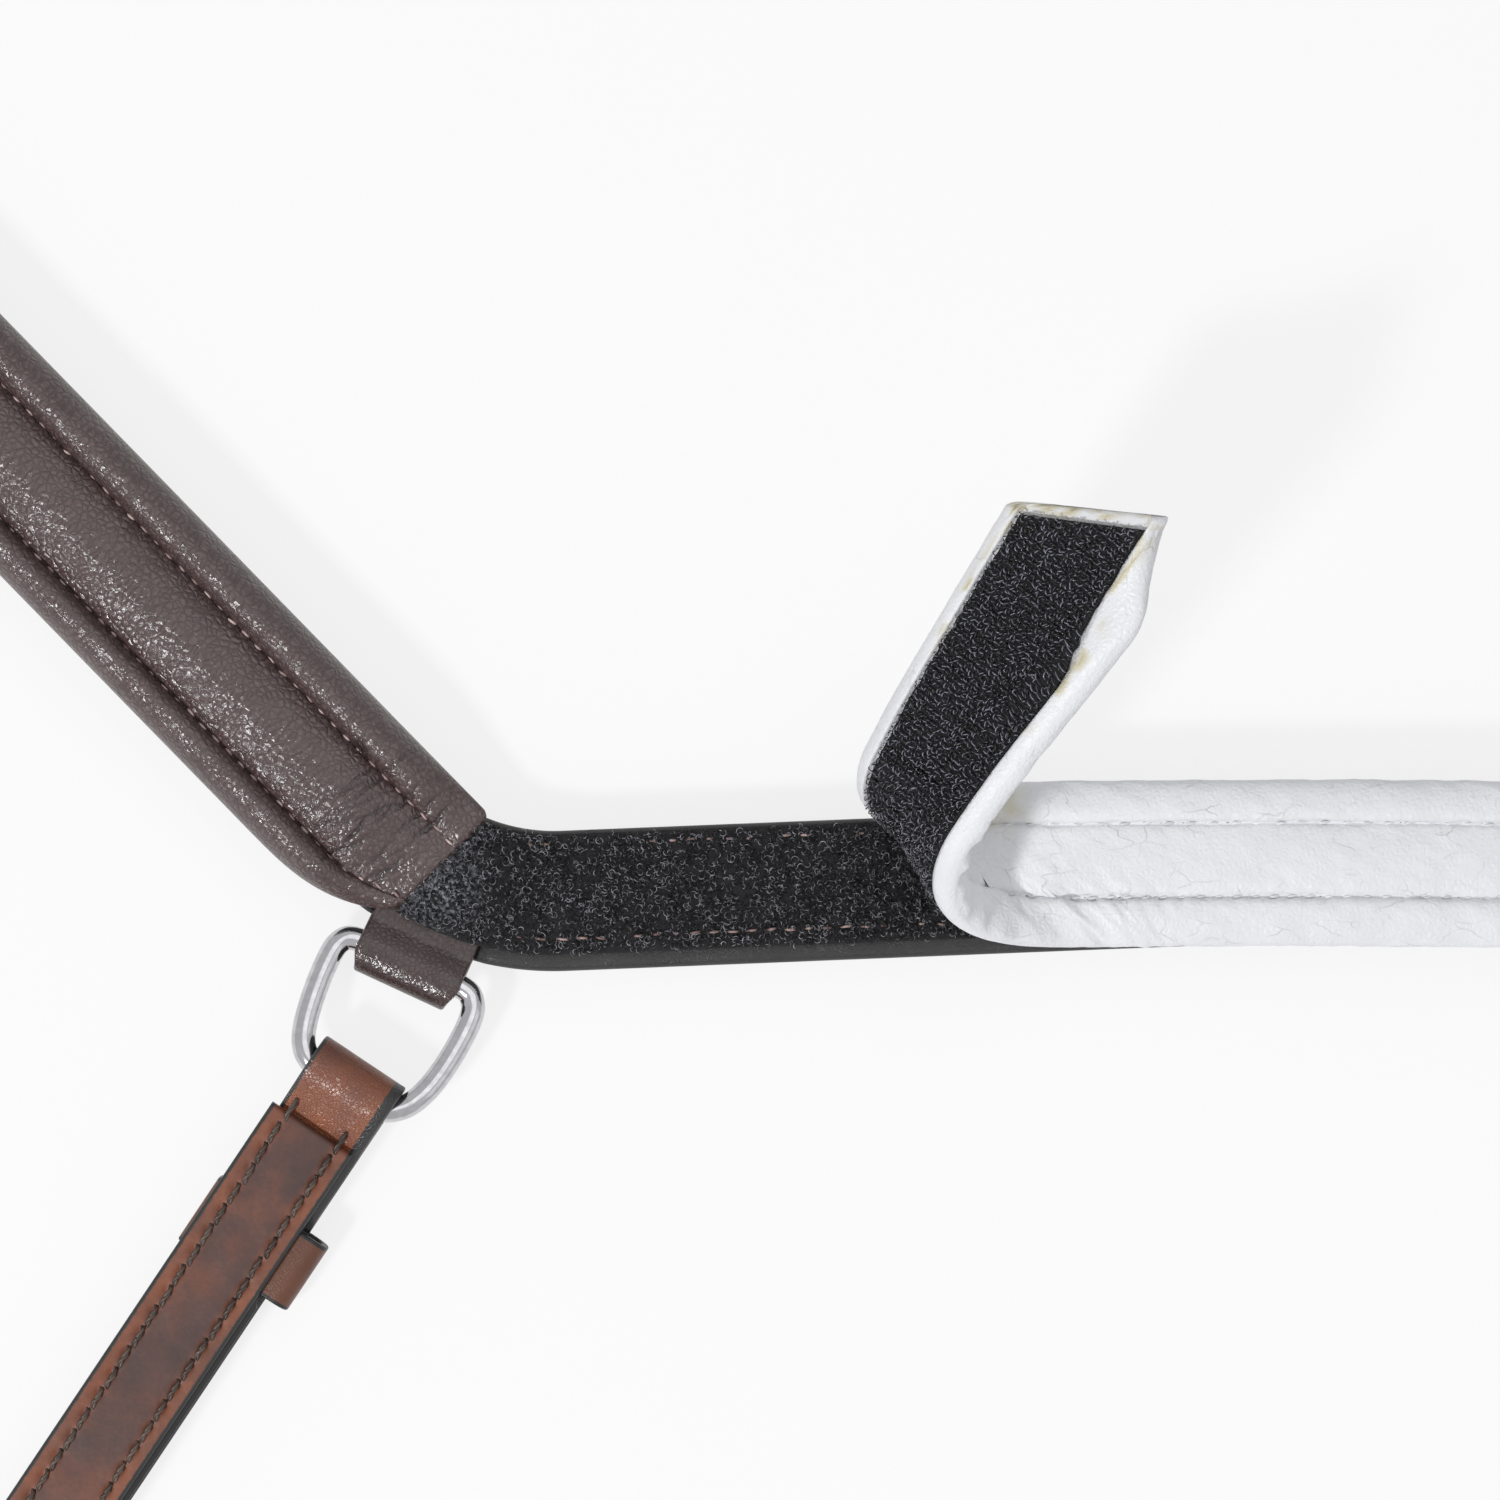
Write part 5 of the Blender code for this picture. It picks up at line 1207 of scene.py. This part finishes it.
for name, node, body, place in (
    ("chin_keeper_leather", "chin_keeper", "noseband", CHIN_BAR[0] - 21.0 * MM),
    ("chin_runner_leather", "chin_runner", "chin_runner", CHIN_BAR[0] - 31.0 * MM),
):
    band = surface(name, in_chin(1, place + along, across, height), body, band_black, uv)
    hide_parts(node)

for name, side, low_run, high_run, raised in CHIN_STITCHES:
    holes = SIDE_LENGTH + np.arange(low_run + 2.0, high_run, CHIN_PITCH) * MM
    level = CHIN_TOP + raised - 0.1 * MM
    starts = np.vstack([in_chin(side, holes, row, level) for row in CHIN_ROWS])
    ends = np.vstack([in_chin(side, holes + CHIN_STITCH, row, level) for row in CHIN_ROWS])
    paths = stitch_paths(starts, ends, 0.35 * MM, -0.2 * MM)
    # The chin stitches take the pile's material, with its painted glints.
    thread = crowd(f"chin_stitches_{name}", paths, CHIN_THREAD, "noseband", pile_with_painted_glints, 6)


# The nose pad: a strip of white nappa over foam, sewn down along two lines into three channels, with rolled
# edges and a hook tape between them on its back. It is pressed on the loop tape, and its left end is peeled
# off and folded back over itself.

PAD_HALF = 10.95 * MM
PAD_CREST = 2.4 * MM
PAD_SEAM_LEVEL = 1.3 * MM
PAD_SEAMS = (-4.4 * MM, 5.3 * MM)
PAD_BACK = -1.3 * MM
ROLL_INNER = 8.4 * MM
PAD_MIDDLE = 11.8 * MM
PAD_END = 135.6 * MM
PAD_SKEW = 0.56
PAD_PITCH = 2.65 * MM
PAD_STITCH = 1.5 * MM
PAD_THREAD = 0.42 * MM
PAD_STEP = 0.5 * MM
HOLE_SHADE_WIDTH = 0.3 * MM
FOLD_START = 63.2 * MM
FOLD_REACH = 27.5 * MM
ROLLS = (
    (FOLD_START, FOLD_REACH, 141.6, 88.3, 144.4, 48),
    (80.9 * MM, 20.4 * MM, 15.8, 15.8, -19.4, 24),
    (93.7 * MM, 12.3 * MM, 89.7, 89.7, 6.3, 8),
)
RULING_BLUR = 0.8 * MM
KINK_PLACE = 130.0 * MM
KINK_REACH = 9.0 * MM
REGIONS = ("main", "bend_1", "bend_2", "bend_3", "tongue")
TONGUE_START = -93.0 * MM


def pad_line(x):
    """Place across of the pad's middle line: a hyperbola, nearly straight over each side."""
    return 0.3 * MM - 0.045 * (np.hypot(x, 45 * MM) - 45 * MM)


def rulings():
    """Lines that the pad is rolled over, from the nose to its tip: the place of each on the middle line, its
    angle and its turn. They belong to the fold, a twist of the tongue and a slight bend near its tip."""
    lines = []
    for place, reach, first_angle, last_angle, turn, count in ROLLS:
        share = (np.arange(count) + 0.5) / count
        angle = first_angle + (last_angle - first_angle) * share
        lines.append(np.stack([place + reach * share, angle, np.full(count, turn / count)], -1))
    lines = np.vstack(lines)
    return lines[np.argsort(lines[:, 0])]


def rolled(flat):
    """Flat pad points turned over the rulings, the outermost first: a point beyond a line turns about it by
    Rodrigues' formula, v cos a + (k x v) sin a + k (k . v)(1 - cos a)."""
    points = flat.copy()
    for place, angle, turn in rulings()[::-1]:
        angle = math.radians(angle)
        line = np.array((math.cos(angle), math.sin(angle), 0.0))
        outward = np.array((-line[1], line[0], 0.0))
        origin = np.array((-place, float(pad_line(place)), PAD_MIDDLE))
        share = np.clip((flat - origin) @ outward / RULING_BLUR, 0, 1)
        turned = share > 0
        a = math.radians(turn) * share[turned][:, None]
        v = points[turned] - origin
        along_line = (v @ line)[:, None] * line
        points[turned] = origin + v * np.cos(a) + np.cross(line, v) * np.sin(a) + along_line * (1 - np.cos(a))
    return points


def on_pad(x, across, height):
    """Points of the pad drawn flat, as places along, across from its middle line and above its middle layer,
    rolled into place."""
    flat = together(x, pad_line(x) + across, PAD_MIDDLE + height)
    return rolled(flat.reshape(-1, 3)).reshape(flat.shape)


SLANTS = np.array((
    (-PAD_END, PAD_SKEW), (-118 * MM, 0.3), (-100 * MM, 0.0), (-90 * MM, 0.1), (-80.4 * MM, -0.25),
    (-70.7 * MM, -0.6), (-FOLD_START, -1.0), (-50 * MM, -0.6), (-20 * MM, 0.0), (100 * MM, 0.0),
    (PAD_END, -PAD_SKEW),
))


def slanted(x, across):
    """Places along for points across a row that crosses the middle line at x: rows lean with the fold's
    lines, and with the cut ends."""
    return x + np.interp(x, SLANTS[:, 0], SLANTS[:, 1]) * across


def region_rows(step):
    """Rows along the pad for each of its five regions; neighbours share a row."""
    folds = -FOLD_START - FOLD_REACH * np.arange(4) / 3
    right = PAD_END - 1.0 * MM * (1 - np.cos(np.linspace(0, math.pi / 2, 5)))
    left = -PAD_END + 1.0 * MM * (1 - np.cos(np.linspace(math.pi / 2, 0, 5)))
    stops = (right[-1], *folds[:3], TONGUE_START, left[0])
    rows = [np.linspace(low, high, int(abs(high - low) / step) + 2) for low, high in zip(stops, stops[1:])]
    rows[0] = np.concatenate([right[:-1], rows[0]])
    rows[4] = np.concatenate([rows[4], left[1:]])
    return rows


def join_regions(piece, number, grid):
    """Region of the pad on its body: the first rides on the noseband. For the others the peel joint's hinge
    and the way from the first row to the last are worked out but not used, and the piece's transform is baked
    in where it lies."""
    if number == 0:
        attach(piece, "noseband")
        return
    first, last = grid[0], grid[-1]
    hinge = joint(f"pad_peel_{number}")[1]
    origin = first.mean(0)
    way = last.mean(0) - origin
    way = unit(way - (way @ hinge) * hinge)
    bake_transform(piece)


def cover_outline():
    """Section of the pad's leather, with its outward normals and the distance round it: half-ellipses over
    the channels, quarter-ellipses for the rolled edges and a flat back."""
    lines = (-PAD_HALF, *PAD_SEAMS, PAD_HALF)
    levels = (0.0, PAD_SEAM_LEVEL, PAD_SEAM_LEVEL, 0.0)
    points = []
    for channel, steps in enumerate((18, 26, 18)):
        turn = np.linspace(0, math.pi, steps + 1)[:-1]
        share = (1 - np.cos(turn)) / 2
        level = levels[channel] + (levels[channel + 1] - levels[channel]) * share
        bulge = PAD_CREST - (levels[channel] + levels[channel + 1]) / 2
        points.append(np.stack([lines[channel] + (lines[channel + 1] - lines[channel]) * share,
                                level + bulge * np.sin(turn) ** 0.85], -1))
    turn = np.linspace(0, math.pi / 2, 10)
    under = np.stack([ROLL_INNER + (PAD_HALF - ROLL_INNER) * np.cos(turn), -PAD_CREST * np.sin(turn)], -1)
    inner = np.array([[ROLL_INNER, (PAD_BACK - PAD_CREST) / 2], [ROLL_INNER - 0.2 * MM, PAD_BACK]])
    back = together(np.linspace(ROLL_INNER - 1.5 * MM, -ROLL_INNER + 1.5 * MM, 10), PAD_BACK)
    right = np.vstack([under, inner])
    outline = np.vstack(points + [right, back, right[::-1] * (-1, 1)])[:-1]
    tangent = unit(np.roll(outline, -1, 0) - np.roll(outline, 1, 0))
    around = np.concatenate([[0], np.cumsum(np.linalg.norm(np.diff(outline, axis=0), axis=1))])
    return outline, np.stack([-tangent[:, 1], tangent[:, 0]], -1), around


pad_outline, pad_normals, pad_around = cover_outline()


def pad_relief(x):
    """Heights of the cover's relief at rows and section points: slack of the leather, fine wrinkles, seam
    grooves with puckers at the stitches, and folds along the fold's lines where its inner side is pressed."""
    across = pad_outline[:, 0]
    top = np.clip(pad_outline[:, 1] / (0.8 * MM), 0, 1)
    sew = sum(np.exp(-((across - seam) / (0.4 * MM)) ** 2) for seam in PAD_SEAMS) * top
    tuck = sum(np.exp(-np.abs(across - seam) / (1.0 * MM)) for seam in PAD_SEAMS) * top
    wander = lattice(x / (4 * MM), pad_around / (9 * MM), 7) * 0.6
    uneven = 0.6 + 0.4 * lattice(x / (3 * MM), pad_around / (2 * MM), 8)
    pucker = np.cos(math.tau * x / PAD_PITCH + wander) * uneven
    loose = ripples(x, pad_around, (9, 5, 0.07, 11))
    loose = loose + ripples(x + pad_around, pad_around, (2.3, 1.7, 0.09, 12))
    loose = loose + ripples(x, pad_around - 0.4 * x, (1.1, 0.9, 0.05, 13))
    folds = ripples(x, pad_around, (1.7, 7, 0.42, 14), (0.9, 3, 0.2, 15))
    before, left_over = -x - FOLD_START, FOLD_START + FOLD_REACH + x
    bend = eased((before + 6 * MM) / (6 * MM)) * eased((left_over + 6 * MM) / (8 * MM))
    near = eased((before + 20 * MM) / (15 * MM)) * eased(left_over / (6 * MM))
    low_side = 0.35 + 0.65 * eased((-across - 1 * MM) / (3 * MM))
    relief = loose * np.clip(1.3 + pad_outline[:, 1] / MM, 0.15, 1)
    relief = relief + folds * top * low_side * np.maximum(bend, near * 0.7)
    return relief - 0.12 * MM * tuck * pucker - 0.2 * MM * sew


white, tree = finish("white_nappa", 0.42, 0.45)
pad_map = strip_map(tree)
veins = add(tree, "Mapping", {"Vector": pad_map, "Scale": (290.0, 520.0, 1.0)}).outputs[0]
lines = spread(tree, edge_distance(tree, veins, 0.6, 0.9, 3.0, 1.1), 0.0, 0.028, 1.0, 0.0)
creases = figure(tree, "MULTIPLY", lines, spread(tree, noise(tree, 210.0, 2.0, pad_map), 0.48, 0.7))
milky = ramp(tree, noise(tree, 140.0, 4.0), (0.3, srgb(235, 236, 240)), (0.7, srgb(241, 242, 245)))
stained = add(tree, "Attribute", {}, attribute_name="stain").outputs["Fac"]
milky = blended(tree, spread(tree, stained, 0.0, 0.6), milky, srgb(214, 207, 180))
milky = blended(tree, spread(tree, stained, 0.62, 1.0, 0.0, 0.8), milky, srgb(128, 118, 98))
milky = blended(tree, figure(tree, "MULTIPLY", creases, 0.4), milky, srgb(150, 144, 142))
rumple = figure(tree, "ADD", grain(tree, 0.8 * MM, 0.6, 0.45, 0.6), noise(tree, 700.0, 4.0, rough=0.6))
height = figure(tree, "ADD", rumple, figure(tree, "MULTIPLY", creases, -0.8))
dress(tree, Base_Color=milky, Normal=bump(tree, height, 0.42, 0.25 * MM))

pad_thread = strand_finish("white_thread", srgb(214, 214, 218), srgb(240, 240, 243), 0.5)
# Painted shade: small dark grey pieces at the seams stand for the shade inside the needle holes.
needle_hole_shade, tree = finish("needle_hole_shade", 0.9)
dress(tree, Base_Color=srgb(86, 84, 88))
COVER_NODES = (
    ("nose_pad_cover", "nose_pad_foam"), ("pad_fold_1_cover",), ("pad_fold_2_cover",),
    ("pad_fold_3_cover", "pad_fold_3_foam"), ("pad_tongue_cover", "pad_tongue_foam"),
)


def pad_skin(rows):
    """Points of the pad's leather at rows, their places on the leather and how stained they are: yellow by
    the fold, and with glue along the tape and at the cut end."""
    closed = np.sqrt(np.clip(1 - (1 - np.clip((PAD_END - np.abs(rows)) / MM, 0, 1)) ** 2, 0, 1))[:, None]
    x = rows[:, None]
    swell = 0.72 + 0.28 * eased((PAD_END - np.abs(x)) / (9 * MM))
    relief = pad_relief(x) * closed
    across = pad_outline[:, 0] * (0.88 + 0.12 * closed)
    pressed = np.clip((-slanted(x, across) - KINK_PLACE) / KINK_REACH, 0, 1) ** 1.3 * 0.7
    across = np.where(across < -ROLL_INNER, -ROLL_INNER + (across + ROLL_INNER) * (1 - pressed), across)
    across = across + pad_normals[:, 0] * relief
    height = pad_outline[:, 1] * np.where(pad_outline[:, 1] > 0, swell, 1.0) * (0.5 + 0.5 * closed)
    height = height + pad_normals[:, 1] * relief
    along = slanted(x, across)
    back = pad_outline[:, 1] < -0.6 * MM
    stain = np.exp(-((along + 66.5 * MM) / (3.2 * MM)) ** 2 - ((across - 7.5 * MM) / (2.6 * MM)) ** 2) * 0.7
    stain = stain * (0.6 + 0.4 * lattice(along / (1.3 * MM), across / (1.1 * MM), 17))
    stain = stain * (pad_outline[:, 1] > 0)
    glue = np.exp(-((np.abs(across) - 8.8 * MM) / (0.55 * MM)) ** 2)
    glue = glue * back * eased((-along - 104 * MM) / (12 * MM))
    glue = glue * np.clip(lattice(along / (2.4 * MM), across / (0.6 * MM), 18) * 1.5 + 0.1, 0, 0.75)
    cut_end = np.clip(1 - (PAD_END - np.abs(x)) / (2.4 * MM), 0, 1) * (pad_outline[:, 1] < 0.4 * MM)
    cut_end = cut_end * np.clip(lattice(along / MM, across / (1.2 * MM), 19) * 1.6 + 0.35, 0, 1)
    stain = np.clip(stain + glue + cut_end, 0, 1)
    return on_pad(along, across, height), together(along, pad_around), stain


def keep_shading(piece, grid, before, after):
    """Smooth shading from a region to the next: the normals of its first and last rows are taken from the
    rows on both sides, by the cross product of the ways along and round the section."""
    normals = np.zeros((len(piece.data.vertices), 3))
    ends = ((0, grid[0], before, grid[1]), (grid[:-1, :, 0].size, grid[-1], grid[-2], after))
    for start, row, low, high in ends:
        normal = unit(np.cross(np.roll(row, -1, 0) - np.roll(row, 1, 0), high - low))
        if ((row - row.mean(0)) * normal).sum() < 0:
            normal = -normal
        normals[start:start + len(row)] = normal
    piece.data.normals_split_custom_set_from_vertices(normals.tolist())


for number, rows in enumerate(region_rows(PAD_STEP)):
    region = REGIONS[number]
    grid, uv, stain = pad_skin(rows)
    cover = surface(f"pad_leather_{region}", grid, None, white, uv, caps="face", extra={"stain": stain})
    beyond = pad_skin(np.array([rows[0] + PAD_STEP, rows[-1] - PAD_STEP]))[0]
    keep_shading(cover, grid, *beyond)
    join_regions(cover, number, grid)
    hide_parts(*COVER_NODES[number])

    holes = np.arange(-130 * MM, 130 * MM, PAD_PITCH)
    holes = holes[(holes <= rows[0]) & (holes > rows[-1])][:, None]
    rng = np.random.default_rng(120 + number)
    share = np.linspace(0, 1, 6)
    threads, hole_shades = [], []
    for seam in PAD_SEAMS:
        start_x = slanted(holes, seam)
        lift = 0.36 * MM * np.sin(math.pi * share) + rng.normal(0, 0.06, holes.shape) * MM
        drift = (share - 0.5) * 0.3 * MM + rng.normal(0, 0.05, holes.shape) * MM
        lift = lift + PAD_SEAM_LEVEL - 0.22 * MM
        threads.append(on_pad(start_x + PAD_STITCH * share, seam + drift, lift))
        # Painted shade in the needle holes: short dark pieces just behind each stitch's start.
        hole_shade_x = start_x + (np.linspace(-0.3, 0.3, 4) - 0.35) * MM
        hole_shades.append(on_pad(hole_shade_x, seam + np.linspace(-0.06, 0.06, 4) * MM, PAD_SEAM_LEVEL - 0.16 * MM))
    thread = crowd(f"pad_stitches_{region}", np.concatenate(threads), PAD_THREAD, None, pad_thread, 6)
    hole_shade_piece = crowd(f"pad_needle_hole_shade_{region}", np.concatenate(hole_shades), HOLE_SHADE_WIDTH, None, needle_hole_shade, 5)
    for piece in (thread, hole_shade_piece):
        join_regions(piece, number, grid)


# The hook tape: a black nylon tape 16 mm wide, glued to the pad's back. Knitted rows run across it, and out
# of them stand rows of small stiff crooks that catch in the loop pile. Its end is cut off raw.

HOOK_BASE = -1.6 * MM
HOOK_GROUND = -2.15 * MM
HOOK_TIP = -2.85 * MM
HOOK_HALF = 7.95 * MM
HOOK_SETBACK = 1.4 * MM
HOOK_PITCH = (0.74 * MM, 0.5 * MM)
HOOK_END = PAD_END - HOOK_SETBACK
HOOK_EDGE = 7.6 * MM
HOOK_STEP = 0.9 * MM
CROOK_WIDTH = 0.18 * MM

knit_black, tree = finish("hook_knit_black", 0.62, 0.4)
values = {"Vector": strip_map(tree), "Scale": 1.0 / HOOK_PITCH[0] / math.tau * 3.14, "Distortion": 2.5,
          "Detail": 2.0}
knit_rows = add(tree, "TexWave", values, wave_type="BANDS", bands_direction="X").outputs["Fac"]
dress(tree, Base_Color=ramp(tree, knit_rows, (0.2, srgb(18, 18, 20)), (0.9, srgb(42, 42, 47))),
      Normal=bump(tree, knit_rows, 0.8, 0.25 * MM))
# Painted glints: most crooks are lighter, up to a bluish pale grey, and stand in for glints on the black
# nylon.
crook_painted_glints = strand_finish("hook_crooks_painted_glints", srgb(30, 30, 34), srgb(134, 134, 148), 0.24, 0.8, 0.35)
HOOK_NODES = ("nose_pad_hook_tape", "pad_fold_1_hook_tape", "pad_fold_2_hook_tape", "pad_fold_3_hook_tape",
              "pad_tongue_hook_tape")
hook_section = rounded_section(HOOK_HALF, HOOK_GROUND, HOOK_BASE, 0.2 * MM, 3, 14)


def hook_skin(rows):
    """Grid and strip places of the hook tape's ground at rows; its edges wander."""
    x, flat = rows[:, None], hook_section[:, 0]
    ragged = lattice(x / (0.6 * MM), np.sign(flat) * 3, 41) * 0.14 * MM
    across = flat + np.sign(flat) * ragged * (np.abs(flat) > HOOK_EDGE)
    along = slanted(x, across)
    return on_pad(along, across, hook_section[:, 1]), together(along, across)


def crooks(places, across, seed):
    """Strands of crooks on the hook tape: up from the ground, then round in a half circle."""
    rng = np.random.default_rng(seed)
    one = (len(places), 1)
    way = rng.uniform(0, math.tau, one)
    radius = rng.uniform(0.2, 0.42, one) * MM
    turn = np.radians(rng.uniform(140, 220, one)) * np.linspace(0, 1, 6)
    stem = rng.uniform(0.6, 1.0, one) * (HOOK_TIP - HOOK_GROUND) + radius
    over = np.hstack([np.zeros(one), radius * (1 - np.cos(turn))]) - radius
    height = HOOK_GROUND + np.hstack([np.full(one, 0.1 * MM), stem - radius * np.sin(turn)])
    return on_pad(places[:, None] + over * np.cos(way), across[:, None] + over * np.sin(way), height)


rng = np.random.default_rng(51)
hook_x, hook_y = np.meshgrid(np.arange(-HOOK_END - 4.6 * MM, -FOLD_START + 16 * MM, HOOK_PITCH[0]),
                             np.arange(-HOOK_HALF + 0.2 * MM, HOOK_HALF, HOOK_PITCH[1]))
hook_x = (hook_x + rng.normal(0, 0.13, hook_x.shape) * MM).ravel()
hook_y = (hook_y + rng.normal(0, 0.1, hook_y.shape) * MM).ravel()
row_of_hook = hook_x - (slanted(hook_x, hook_y) - hook_x)
crook_paths = crooks(hook_x, hook_y, 52)
kept = row_of_hook > -HOOK_END
hook_x, hook_y, row_of_hook, crook_paths = hook_x[kept], hook_y[kept], row_of_hook[kept], crook_paths[kept]
for number, rows in enumerate(region_rows(HOOK_STEP)):
    region = REGIONS[number]
    rows = rows[np.abs(rows) <= HOOK_END]
    grid, uv = hook_skin(rows)
    ground = surface(f"hook_tape_ground_{region}", grid, None, knit_black, uv)
    beyond = hook_skin(np.array([rows[0] + HOOK_STEP, rows[-1] - HOOK_STEP]))[0]
    keep_shading(ground, grid, *beyond)
    join_regions(ground, number, grid)
    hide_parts(HOOK_NODES[number])
    inside = (row_of_hook <= rows[0]) & (row_of_hook > rows[-1])
    hooks = crowd(f"hook_tape_crooks_{region}", crook_paths[inside], CROOK_WIDTH, None, crook_painted_glints, 4)
    join_regions(hooks, number, grid)
